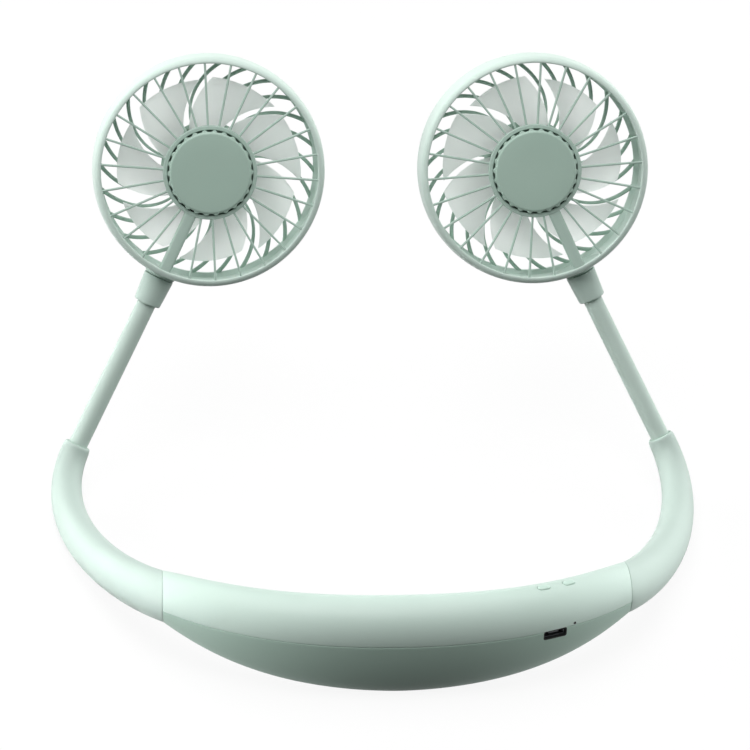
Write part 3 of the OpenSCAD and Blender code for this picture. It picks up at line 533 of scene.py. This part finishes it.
arm_mid_d, arm_mouth_d, core_d, arm_run = 12.6, 10.2, 4.4, 122.0
mouth_at = np.array([108.5, 131.9, 18.4])
root_pull, mouth_pull, square_by = 27.8, 32.0, 0.3
mouth_round, socket_d, socket_l, bore_from, fit = 2.0, 8.0, 5.0, 6.0, 0.1
spigot_from = 0.9

head_at = np.array([59.5, 168.0, 112.3])
head_d, head_t = 84.6, 23.0
head_tilt, head_toe, stem_lean = (math.radians(a) for a in (18, 2, 26))
stem_reach, joint_gap, collar_l, ball_lift = 0.6, 0.3, 10.7, 2.4
tip = math.pi / 2 - head_tilt
toed_in = np.array([[math.cos(head_toe), math.sin(head_toe), 0], [-math.sin(head_toe), math.cos(head_toe), 0],
                    [0, 0, 1]])
tipped_up = np.array([[1, 0, 0], [0, math.cos(tip), -math.sin(tip)], [0, math.sin(tip), math.cos(tip)]])
head_turn = toed_in @ tipped_up
collar_dir = head_turn @ np.array([math.sin(stem_lean), -math.cos(stem_lean), 0])
collar_top_at = head_d / 2 + stem_reach
collar_low = head_at + (collar_top_at + joint_gap + collar_l) * collar_dir
ball_top = collar_low + ball_lift * collar_dir
mouth_dir = unit(ball_top - mouth_at)
ball_low = mouth_at + ball_lift * mouth_dir
ball_mid = (ball_low + ball_top) / 2
# The line of the arm, from the housing at s = 0 to the mouth at s = 1.
arm_line = (seam_end, seam_end + root_pull * end_dir, mouth_at - mouth_pull * mouth_dir, mouth_at)
sides = (("left", -1), ("right", 1))


def mirrored(points, hand):
    """Points of the right side, which a hand of -1 mirrors to the left."""
    return points * (hand, 1, 1)


def circle(radius, count=96):
    """Across and upward of the points of round rings, one row for each radius."""
    a = np.linspace(0, 2 * math.pi, count, endpoint=False)
    radius = np.asarray(radius, float)[:, None]
    return radius * np.cos(a), radius * np.sin(a)


def arm_r(s):
    """Radius through the root, the middle and the mouth: a parabola in s."""
    ends = (1 - s) * (1 - 2 * s) * arm_root_d + s * (2 * s - 1) * arm_mouth_d
    return (ends + 4 * s * (1 - s) * arm_mid_d) / 2


def arm_rings(s, radius):
    """Round rings on the arm's line, which start in the plane of the end seam and
    turn square to the line over the first part, with a smooth step."""
    along = curve_dir(arm_line, s)
    k = np.clip(s / square_by, 0, 1)
    k = (k * k * (3 - 2 * k))[:, None]
    plane = unit((1 - k) * np.array([1.0, 0, 0]) + k * along)
    return cut_ring(curve(arm_line, s), along, plane, *circle(radius))


def mouth_rings(back, radius):
    """Round rings square to the mouth, each at a distance back from it."""
    back = np.asarray(back, float)[:, None]
    along = np.broadcast_to(mouth_dir, (len(back), 3))
    return cut_ring(mouth_at - back * mouth_dir, along, along, *circle(radius))


def spigot_rings(u, radius):
    """Round rings on the seam's line, in planes that face along the housing's end."""
    along = curve_dir(seam_line, u)
    plane = np.broadcast_to([1.0, 0, 0], along.shape)
    return cut_ring(curve(seam_line, u), along, plane, *circle(np.full(len(u), radius)))


def arm():
    """Spigot in the housing, tapered skin, rounded mouth, seat of the neck's socket and bore of
    the core, in one closed surface. Near its mouth the line runs three pulls for each unit of s."""
    round_s = seam_round / arm_run
    turn = quarter(6)
    skin = np.linspace(round_s, 1 - mouth_round / (3 * mouth_pull), 150)[1:]
    s = np.concatenate([round_s * (1 - np.cos(turn)), skin])
    inset = np.concatenate([seam_round * (1 - np.sin(turn)), 0 * skin])
    lip = quarter(11)[1:]
    lip_r = arm_mouth_d / 2 - (arm_mouth_d - socket_d) / 3 * (1 - np.cos(lip))
    seat_r, bore_r = socket_d / 2 + fit, core_d / 2 + fit
    bore = np.linspace(1 - bore_from / (3 * mouth_pull), 0, 24)
    return np.concatenate([
        spigot_rings(np.linspace(spigot_from, 1, 3), arm_root_d / 2 - shell_wall - fit),
        arm_rings(s, arm_r(s) - inset),
        mouth_rings(mouth_round * (1 - np.sin(lip)), lip_r),
        mouth_rings([0, socket_l, socket_l], [seat_r, seat_r, bore_r]),
        arm_rings(bore, np.full(len(bore), bore_r)),
        spigot_rings(np.array([spigot_from]), bore_r),
    ])


for side, hand in sides:
    sleeve = piece("sleeve_" + side, [(mirrored(arm(), hand), True, True)],
                   [moulded("soft_arm_" + side, (191, 208, 200), (186, 203, 195), 0.5, 0.35)],
                   ["arm_sleeve_" + side], 40)
    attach(sleeve, "band")


# ---- Goosenecks -------------------------------------------------------------
# A smooth silicone sleeve covers the bendable neck from the arm's mouth to the
# collar. It is drawn in three lengths, one over each bend, that meet flush.

neck_r, foot_tuck, head_tuck = 3.5, 1.5, 1.0
bend_reach, collar_reach = 9.0, 0.6
low_quarter, top_quarter = (ball_low + ball_mid) / 2, (ball_mid + ball_top) / 2

# Each length: its name, its ends, the bend in it, how far before and after the bend it
# turns, the bodies on both sides of the bend, and the node that it stands for.
neck_lengths = (
    ("neck_foot_", mouth_at - foot_tuck * mouth_dir, low_quarter,
     ball_low, ball_lift, bend_reach, "band", "neck_lower_", "neck_lower_"),
    ("neck_middle_", low_quarter, top_quarter,
     ball_mid, bend_reach, bend_reach, "neck_lower_", "neck_upper_", "neck_upper_"),
    ("neck_head_", top_quarter, collar_low - head_tuck * collar_dir,
     ball_top, bend_reach, collar_reach, "neck_upper_", "collar_", "neck_upper_"),
)


def neck_length(start, end):
    """Round tube between two points of the straight neck, closed at both ends."""
    steps = max(8, int(np.linalg.norm(end - start)))
    along = np.broadcast_to(mouth_dir, (steps, 3))
    centre = start + np.linspace(0, 1, steps)[:, None] * (end - start)
    tube = cut_ring(centre, along, along, *circle(np.full(steps, neck_r), 64))
    closing = [np.broadcast_to(tube[k].mean(0), tube[:1].shape) for k in (0, -1)]
    return np.concatenate([closing[0], tube, closing[1]])


for side, hand in sides:
    neck_skin = moulded("soft_neck_" + side, (202, 220, 211), (196, 214, 205), 0.46, 0.3)
    for name, start, end, bend, before, after, first, second, node in neck_lengths:
        tube = piece(name + side, [(mirrored(neck_length(start, end), hand), False, True)],
                     [neck_skin], [node + side], 60)
        first if first == "band" else first + side
        second + side
        tuple(mirrored(bend - before * mouth_dir, hand) / 1000)
        tuple(mirrored(bend + after * mouth_dir, hand) / 1000)
        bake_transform(tube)


# ---- Collars ----------------------------------------------------------------
# A short tapered collar of hard mint ABS caps each gooseneck. The fan head's stem
# stands on it and turns in it on a pin, with a fine dark gap between the two.

collar_low_d, collar_top_d = 10.0, 11.3
neck_room, neck_seat, core_room, core_seat = 0.3, 1.6, 1.3, 3.2
pin_d, pin_l, pin_gap = 5.0, 4.8, 0.06


def rounded(corners, steps=6):
    """A closed outline of corners, each given with its rounding: how far from the corner a
    curve leaves one side and joins the next. The curve is pulled nine tenths to the corner."""
    corners = np.array(corners, float)
    at, reaches = corners[:, :2], corners[:, 2]
    t = np.linspace(0, 1, steps)[:, None]
    points = []
    for corner, last, coming, reach in zip(at, np.roll(at, 1, 0), np.roll(at, -1, 0), reaches):
        if reach == 0:
            points.append(corner[None])
            continue
        a = corner + unit(last - corner) * reach
        b = corner + unit(coming - corner) * reach
        pull = corner * 0.9 + (a + b) * 0.05
        points.append((1 - t) ** 2 * a + 2 * t * (1 - t) * pull + t * t * b)
    return np.concatenate(points)


def turned(outline, count):
    """An outline of radius and height, turned round the Z axis."""
    a = np.linspace(0, 2 * math.pi, count, endpoint=False)[:, None]
    r, z = outline[:, 0], outline[:, 1]
    return np.stack([r * np.cos(a), r * np.sin(a), np.broadcast_to(z, (count, len(z)))], -1)


def upright(points, at, along):
    """Points whose Z axis is laid along a direction from a place."""
    side = unit(np.cross((0.0, 0.0, 1.0), along))
    return at + points @ np.stack([side, np.cross(along, side), along])


pin_hole_r, pin_hole_low = pin_d / 2 + pin_gap, collar_l - pin_l - joint_gap
collar_outline = rounded([
    (neck_r + neck_room, 0, 0.15), (collar_low_d / 2, 0, 0.55), (collar_top_d / 2, collar_l, 0.35),
    (pin_hole_r, collar_l, 0.1), (pin_hole_r, pin_hole_low, 0), (core_room, pin_hole_low, 0),
    (core_room, core_seat, 0), (neck_r + neck_room, neck_seat, 0),
])
collar_form = upright(turned(collar_outline, 96), collar_low, -collar_dir)
for side, hand in sides:
    collar = piece("collar_ring_" + side, [(mirrored(collar_form, hand), True, True)],
                   [moulded("mint_collar_" + side, (198, 217, 208), (192, 211, 202), 0.42)],
                   ["collar_" + side], 40)
    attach(collar, "collar_" + side)


# ---- Motor side grilles -----------------------------------------------------
# The side of each head that faces out at the back: a barrel ring, a fan of thin
# straight spokes, a round seat for the motor, and the channel that takes the
# lead down to the stem. One moulding in mint ABS; its ring gets a paler copy of
# the mint as painted light, for where the light falls on it.

face_d, hub_d = 78.4, 34.0
spoke_n, spoke_w, spoke_t, spoke_sink, hub_bite, ring_bite = 26, 0.8, 1.5, 0.2, 0.3, 0.5
ring_wall, ring_crown, ring_swell, lip_t, lip_flat, lip_corner = 1.5, 1.1, 0.78, 1.8, 0.35, 0.1
groove_in, groove_up = 0.12, 0.14
hub_plate_t, hub_rim_h, hub_rim_w = 1.5, 0.6, 1.45
pocket_w, pocket_sink, pocket_wall = 1.7, 1.8, 0.45
boss_bore, boss_r, boss_flange_r, boss_low, boss_step = 2.03, 3.2, 4.2, -4, 6.4
channel_w, channel_h, channel_bite = 4.4, 3.7, 0.6
flare_r, flare_in, stem_edge, pin_root, pin_edge = 9.5, 2.5, 0.3, 2, 0.3
head_r, face_r, hub_r, half_depth = head_d / 2, face_d / 2, hub_d / 2, head_t / 2
plate_z = half_depth - hub_rim_h - hub_plate_t
stem_r, stem_turn = collar_top_d / 2, stem_lean - math.pi / 2
sideways, upwards = (0.0, 1.0, 0.0), (0.0, 0.0, 1.0)


def on_head(points, hand):
    """Points of the head's own frame, Z out of the motor side, moved to the head."""
    return mirrored(head_at + points @ head_turn.T, hand)


def half_ring_outline():
    """Outline of half the barrel ring: a groove at the split, the swell of the outer wall by a
    parabola, the round edge, the lip round the face, and the inner wall back to the split."""
    k = np.linspace(0, ring_swell, 12)
    wall = np.stack([head_r - ring_crown * k * k, k * half_depth], -1)
    wall[0] = (head_r - groove_in, 0)
    wall = np.insert(wall, 1, (head_r, groove_up), 0)
    turn = quarter(13)[1:]
    reach, top = wall[-1, 0] - face_r - lip_flat, half_depth - wall[-1, 1]
    edge = np.stack([wall[-1, 0] - reach * (1 - np.cos(turn)), wall[-1, 1] + top * np.sin(turn)], -1)
    rest = rounded([
        (edge[-1, 0], half_depth, 0), (face_r, half_depth - lip_corner, 0.2), (face_r, half_depth - lip_t, 0),
        (head_r - ring_wall, half_depth - 2 * lip_t, 0), (head_r - ring_wall, 0, 0),
    ])
    return np.concatenate([wall, edge, rest[1:]])


def bar(centre, across, upward, half_w, half_h, count=12, square=3.2):
    """A bar along a line of points, closed to a point at both ends. Its section is a rounded
    block, half_w to the side and half_h up: a circle's sine and cosine to the power 2 / square."""
    a = np.linspace(0, 2 * math.pi, count, endpoint=False) + math.pi / count
    c = np.sign(np.cos(a)) * np.abs(np.cos(a)) ** (2 / square)
    s = np.sign(np.sin(a)) * np.abs(np.sin(a)) ** (2 / square)
    half_w, half_h = (np.broadcast_to(h, len(centre))[:, None, None] for h in (half_w, half_h))
    across, upward = (np.broadcast_to(v, centre.shape)[:, None] for v in (across, upward))
    rows = centre[:, None] + across * half_w * c[:, None] + upward * half_h * s[:, None]
    first, last = (np.broadcast_to(centre[k], (1, count, 3)) for k in (0, -1))
    return np.concatenate([first, rows, last])


def round_z(points, angle):
    """Points turned about the Z axis."""
    c, s = math.cos(angle), math.sin(angle)
    return points @ np.array([[c, s, 0], [-s, c, 0], [0, 0, 1]])


def straight(x, z):
    """A line of points at the places x, all at one height."""
    return np.stack([x, 0 * x, 0 * x + z], -1)


def spoke(angle):
    """A straight bar from the hub's rim to the ring."""
    line = straight(np.linspace(hub_r - hub_bite, face_r + ring_bite, 4),
                    half_depth - spoke_sink - spoke_t / 2)
    return round_z(bar(line, sideways, upwards, spoke_w / 2, spoke_t / 2), angle)


def channel():
    """A wider and deeper bar over the lead, from the hub to the stem."""
    line = straight(np.array([hub_r - hub_bite, hub_r + 2, face_r - 1, face_r + channel_bite]),
                    half_depth - spoke_sink - channel_h / 2)
    return round_z(bar(line, sideways, upwards, channel_w / 2, channel_h / 2, 32, 5.0), stem_turn)


def stem_flare():
    """The stem: round where it meets the collar, and wider by the square of the way back to
    where it runs into the ring, with its edge rounded by a quarter circle."""
    k = np.linspace(0, 1, 24)
    x = head_r - flare_in + (flare_in + stem_reach) * k
    x[-1] -= stem_edge
    wide = stem_r + (flare_r - stem_r) * (1 - k) ** 2
    turn = quarter(6)[1:]
    edge_x = head_r + stem_reach - stem_edge * (1 - np.sin(turn))
    edge_r = stem_r - stem_edge * (1 - np.cos(turn))
    x = np.concatenate([x, edge_x])
    wide = np.concatenate([wide, edge_r])
    deep = np.concatenate([np.full(len(k), stem_r), edge_r])
    return round_z(bar(straight(x, 0), sideways, upwards, wide, deep, 96, 2.0), stem_turn)


def stem_pin():
    """The pin that turns in the collar, its axis laid along the stem."""
    pin_r, low, high = pin_d / 2, head_r - pin_root, collar_top_at + pin_l
    outline = [(0, low), (pin_r, low), (pin_r, high - pin_edge), (pin_r - pin_edge, high), (0, high)]
    return round_z(turned(np.array(outline), 48)[..., [2, 0, 1]], stem_turn)


pocket_out, pocket_low = hub_r - hub_rim_w, plate_z - pocket_sink
pocket_in = pocket_out - pocket_w
hub_outline = rounded([
    (boss_r, plate_z, 0), (pocket_in - pocket_wall, plate_z, 0),
    (pocket_in - pocket_wall, pocket_low - pocket_wall, 0),
    (pocket_out + pocket_wall, pocket_low - pocket_wall, 0),
    (pocket_out + pocket_wall, plate_z, 0), (hub_r, plate_z, 0.2), (hub_r, half_depth, 0.3),
    (pocket_out, half_depth, 0.15), (pocket_out, pocket_low, 0), (pocket_in, pocket_low, 0),
    (pocket_in, plate_z + hub_plate_t, 0), (boss_r, plate_z + hub_plate_t, 0),
])
boss_outline = rounded([
    (boss_bore, boss_low, 0), (boss_r, boss_low, 0.2), (boss_r, boss_step, 0),
    (boss_flange_r, boss_step, 0), (boss_flange_r, plate_z, 0), (boss_bore, plate_z, 0),
])
cage_forms = [
    (turned(half_ring_outline(), 240), True, True, 1), (turned(hub_outline, 144), True, True),
    (turned(boss_outline, 64), True, True), (stem_flare(), False, True), (channel(), False, True),
    (stem_pin(), True, False),
] + [(spoke(stem_turn + 2 * math.pi * k / spoke_n), False, True) for k in range(1, spoke_n)]
for side, hand in sides:
    # The ring's paler finish is painted light: the ring is the same mint as the spokes and hub.
    cage = piece("cage_motor_" + side, [(on_head(form, hand), *rest) for form, *rest in cage_forms],
                 [moulded("mint_cage_" + side, (186, 208, 197), (180, 202, 191), 0.42),
                  moulded("painted_light_rim_" + side, (213, 231, 222), (207, 225, 216), 0.4)],
                 ["motor_side_grille_" + side], 40)
    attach(cage, "head_" + side)


# ---- Hub caps ---------------------------------------------------------------
# A flat disc snapped over the motor, with a scalloped skirt that leaves dark
# pockets inside the rim of its seat. Slightly deeper mint ABS.

cap_d, cap_h, cap_edge, cap_wall = 29.6, 2.3, 0.9, 1.3
scallop_n, scallop_r, scallop_h, scallop_fit = 26, 1.2, 1.8, 0.1
skirt_steps = ((0.25, 0), (0.07, 0.09), (0, 0.28))


def cap():
    """A domed-edge disc whose skirt reaches out round every scallop's circle: along each ray
    it ends at the far side of the nearest circle, or at the disc. The skirt's upper edge is
    rounded in steps, each an inset and a sink."""
    count = scallop_n * 20
    pitch = 2 * math.pi / scallop_n
    a = np.arange(count) * 2 * math.pi / count
    off = np.mod(a, pitch) - pitch / 2
    reach = hub_r - hub_rim_w - scallop_fit - scallop_r
    room = scallop_r ** 2 - (reach * np.sin(off)) ** 2
    skirt = np.where(room > 0, reach * np.cos(off) + np.sqrt(np.maximum(room, 0)), 0)
    cap_r = cap_d / 2
    skirt = np.maximum(skirt, cap_r)
    bump = skirt - cap_r
    turn = quarter(8)[::-1]
    dome_r = cap_r - cap_edge * (1 - np.cos(turn))
    dome_z = cap_h - cap_edge * (1 - np.sin(turn))
    rows = [(0, cap_h), (cap_r / 2, cap_h)]
    rows += [(r, z) for r, z in zip(dome_r, dome_z) if z > scallop_h]
    rows += [(cap_r, scallop_h)]
    rows += [(cap_r + np.maximum(bump - inset, 0), scallop_h - sink) for inset, sink in skirt_steps]
    rows += [(skirt, 0), (cap_r - cap_wall, 0), (cap_r - cap_wall, cap_h - cap_wall), (0, cap_h - cap_wall)]
    radius = np.stack([np.broadcast_to(r, count) for r, z in rows])
    height = np.array([z for r, z in rows], float)[:, None] + plate_z + hub_plate_t
    return np.stack([radius * np.cos(a + pitch / 2), radius * np.sin(a + pitch / 2),
                     np.broadcast_to(height, radius.shape)], -1)


for side, hand in sides:
    lid = piece("lid_" + side, [(on_head(cap(), hand), False, True)],
                [moulded("deep_mint_lid_" + side, (178, 202, 189), (172, 197, 184), 0.42)],
                ["hub_cap_" + side], 40)
    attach(lid, "head_" + side)


# ---- Outlet grilles ---------------------------------------------------------
# The side that blows on the wearer: the other half of the barrel ring, curved
# swirl ribs that widen outwards, and a plain hub disc. Mint ABS: the ribs and hub
# get a darker copy as painted shade, the ring a paler copy as painted light.

rib_n, rib_rim_w, rib_hub_w, rib_t, rib_hub_bite, rib_ring_bite = 26, 1.5, 0.9, 2.0, 1, 0.8
rib_turn, rib_shift = math.radians(27.6), math.radians(2.95)
outlet_hub_h, outlet_wall, outlet_edge = 2.9, 1.2, 1.1


def swirl_rib(angle):
    """A bar whose angle grows with the power 1.5 of the way from the hub to the ring."""
    r = np.linspace(hub_r - rib_hub_bite, face_r + rib_ring_bite, 22)
    share = np.clip((r - hub_r) / (face_r - hub_r), 0, None)
    a = rib_turn * share ** 1.5
    z = spoke_sink - half_depth + rib_t / 2
    centre = np.stack([r * np.cos(a), r * np.sin(a), 0 * r + z], -1)
    across = np.cross(upwards, unit(np.gradient(centre, axis=0)))
    width = rib_hub_w + (rib_rim_w - rib_hub_w) * share
    return round_z(bar(centre, across, upwards, width / 2, rib_t / 2), angle)


hub_in, hub_floor = hub_r - outlet_wall, outlet_wall - half_depth
out_hub = rounded([
    (0, hub_floor, 0), (hub_in, hub_floor, 0), (hub_in, outlet_hub_h - half_depth, 0),
    (hub_r, outlet_hub_h - half_depth, 0), (hub_r, -half_depth, outlet_edge), (0, -half_depth, 0),
])
outlet_forms = [
    (turned(half_ring_outline() * (1, -1), 240), True, True, 1), (turned(out_hub, 144), True, False),
] + [(swirl_rib(stem_turn - rib_shift + 2 * math.pi * k / rib_n), False, True) for k in range(rib_n)]
for side, hand in sides:
    # Ribs and hub take a darkened mint as painted shade; the ring takes a paler mint as painted light.
    cage = piece("cage_outlet_" + side, [(on_head(form, hand), *rest) for form, *rest in outlet_forms],
                 [moulded("painted_shade_outlet_cage_" + side, (174, 200, 186), (168, 194, 180), 0.45),
                  moulded("painted_light_outlet_rim_" + side, (213, 231, 222), (207, 225, 216), 0.4)],
                 ["outlet_grille_" + side], 40)
    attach(cage, "head_" + side)


# ---- Impellers --------------------------------------------------------------
# Seven swept, pitched blades on a cup that drives over the motor. Moulded in a
# pale milky plastic, thin enough to let light through.

blade_n, blade_tip_d, blade_t, camber = 7, 66.6, 1.0, 1.2
blade_gap, blade_sweep, blade_start = (math.radians(a) for a in (9.5, 32, 141))
root_low, root_high, tip_low, tip_high = -7, 4.4, -7.8, 6.2
cup_d, cup_wall, cup_low, cup_top = 28.6, 1.3, -8.2, 5.0
shaft_hole_r, shaft_boss_r, shaft_boss_top = 0.78, 2.6, -4.3


def blade(angle):
    """A blade from hub to tip: the angle and height of its points follow the way from
    edge to edge, with a parabola of camber and a thickness that thins at both edges."""
    e = np.linspace(0, 1, 15)[:, None]
    turn = np.linspace(0, 2 * math.pi, 64, endpoint=False)[None]
    c = 0.5 - 0.5 * np.cos(turn)
    root_r = cup_d / 2 - cup_wall / 2
    r = root_r + (blade_tip_d / 2 - root_r) * e
    span = 2 * math.pi / blade_n - blade_gap
    a = blade_start + blade_gap / 2 - blade_sweep * (1 - e) + span * c
    low = root_low + (tip_low - root_low) * e
    high = root_high + (tip_high - root_high) * e
    z = low + (high - low) * c + camber * 4 * c * (1 - c)
    thick = blade_t / 2 * np.sign(np.sin(turn)) * np.abs(np.sin(turn)) ** 0.35
    middle = np.stack([r * np.cos(a), r * np.sin(a), z], -1)
    skin = middle.copy()
    skin[..., 2] += thick
    return round_z(np.concatenate([middle[:1], skin, middle[-1:]]), angle)


def milky(name, shade, deep):
    """Translucent milky plastic: light carried through it, under a thin satin skin."""
    finish = Finish(bpy.data.materials.new(name))
    place = finish.add("ShaderNodeTexCoord", out="Object")
    drift = finish.add("ShaderNodeTexNoise", sockets={"Vector": place, "Scale": 90.0, "Detail": 4.0})
    fine = finish.add("ShaderNodeTexNoise", sockets={"Vector": place, "Scale": 2200.0, "Detail": 2.0})
    base = finish.add("ShaderNodeValToRGB", {"stops": [(0.3, linear(deep)), (0.7, linear(shade))]},
                      {"Fac": drift * 0.7 + fine * 0.3})
    relief = finish.add("ShaderNodeBump", sockets={"Height": fine, "Strength": 0.2, "Distance": 0.00003})
    body = finish.add("ShaderNodeBsdfPrincipled", sockets={
        "Base Color": base, "Roughness": 0.34 + fine * 0.08, "Normal": relief
    })
    through = finish.add("ShaderNodeBsdfTranslucent", sockets={"Color": (0.98, 0.985, 0.982, 1)})
    mixed = finish.add("ShaderNodeMixShader", sockets={0: 0.92, 1: body, 2: through})
    finish.add("ShaderNodeOutputMaterial", sockets={"Surface": mixed})
    return finish.owner


cup_in = cup_d / 2 - cup_wall
cup_outline = rounded([
    (shaft_boss_r, cup_low, 0), (cup_d / 2, cup_low, 2.0), (cup_d / 2, cup_top, 0.2), (cup_in, cup_top, 0.2),
    (cup_in, cup_low + cup_wall, 0), (shaft_boss_r, cup_low + cup_wall, 0),
])
shaft_boss = rounded([
    (shaft_hole_r, cup_low, 0), (shaft_boss_r, cup_low, 0), (shaft_boss_r, shaft_boss_top, 0.2),
    (shaft_hole_r, shaft_boss_top, 0),
])
rotor_forms = [(blade(2 * math.pi * k / blade_n), False, True) for k in range(blade_n)]
rotor_forms += [(turned(cup_outline, 120), True, True), (turned(shaft_boss, 48), True, True)]
for side, hand in sides:
    rotor = piece("rotor_" + side, [(on_head(form, hand), *rest) for form, *rest in rotor_forms],
                  [milky("milky_rotor_" + side, (236, 240, 238), (230, 235, 233))],
                  ["impeller_" + side], 40)
    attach(rotor, "impeller_" + side)


# ---- Inner parts ------------------------------------------------------------
# What the shells hide, and what shows in the port and at the gaps: the cell and
# its pad, the board, socket and switches, the cores, bearings, motors and leads.
# These keep their CAD solids and get their real finishes, but the socket's steel
# is darkened as painted shade for the inside of the port.

def plain(name, shade, deep, rough, metal=0.0, scale=300.0, stretch=(1, 1, 1), relief=0.15, depth=0.00002):
    """A solid finish whose tone and gloss drift with a noise that may be stretched into brush lines."""
    finish = Finish(bpy.data.materials.new(name))
    place = finish.add("ShaderNodeTexCoord", out="Object")
    laid = finish.add("ShaderNodeMapping", sockets={"Vector": place, "Scale": stretch})
    drift = finish.add("ShaderNodeTexNoise", sockets={"Vector": laid, "Scale": scale, "Detail": 4.0})
    base = finish.add("ShaderNodeValToRGB", {"stops": [(0.35, linear(deep)), (0.65, linear(shade))]},
                      {"Fac": drift})
    bump = finish.add("ShaderNodeBump", sockets={"Height": drift, "Strength": relief, "Distance": depth})
    body = finish.add("ShaderNodeBsdfPrincipled", sockets={
        "Base Color": base, "Roughness": rough + drift * 0.15 - 0.07, "Metallic": metal, "Normal": bump
    })
    finish.add("ShaderNodeOutputMaterial", sockets={"Surface": body})
    return finish.owner


inner_parts = {
    plain("cell_wrap", (150, 156, 160), (136, 142, 146), 0.35, 0.9, 60, (1, 4, 4)): ["battery_cell"],
    plain("foam_pad", (92, 94, 98), (70, 72, 76), 0.9, 0.0, 1500, relief=0.8, depth=0.0001): ["battery_pad"],
    plain("copper_wire", (201, 128, 84), (176, 104, 66), 0.3, 0.95, 900): ["battery_leads", "stator_coils"],
    plain("board_mask", (34, 96, 60), (24, 78, 48), 0.35, 0.0, 500): ["control_board", "motor_board"],
    # The socket's steel is painted dark: painted shade inside the port.
    plain("painted_shade_socket_steel", (96, 98, 101), (82, 84, 87), 0.5, 0.9, 400, (1, 8, 1)): ["usb_socket"],
    plain("switch_black", (34, 34, 37), (24, 24, 27), 0.45, 0.0, 700): ["tact_switches"],
    plain("light_pipe", (52, 60, 56), (44, 52, 48), 0.2, 0.0, 300, relief=0.05): ["charge_light_pipe"],
    plain("core_steel", (182, 184, 188), (160, 162, 166), 0.32, 0.95, 500, (1, 1, 6)): [
        "arm_core", "neck_core_lower", "neck_core_upper", "stator_core", "motor_shaft"],
    plain("socket_mint", (172, 198, 184), (164, 190, 176), 0.45, 0.0, 900, relief=0.2): ["neck_socket"],
    plain("bronze_bush", (186, 140, 92), (160, 118, 74), 0.35, 0.9, 900): ["bearing_bush"],
    plain("lead_black", (30, 30, 33), (22, 22, 25), 0.5, 0.0, 900): ["fan_lead"],
    plain("ferrite", (58, 58, 62), (44, 44, 48), 0.55, 0.1, 1200, relief=0.4): ["rotor_magnet"],
}
for material, names in inner_parts.items():
    for name in names:
        for node in (name, name + "_left", name + "_right"):
            if node in nodes:
                nodes[node].data.materials.clear()
                nodes[node].data.materials.append(material)
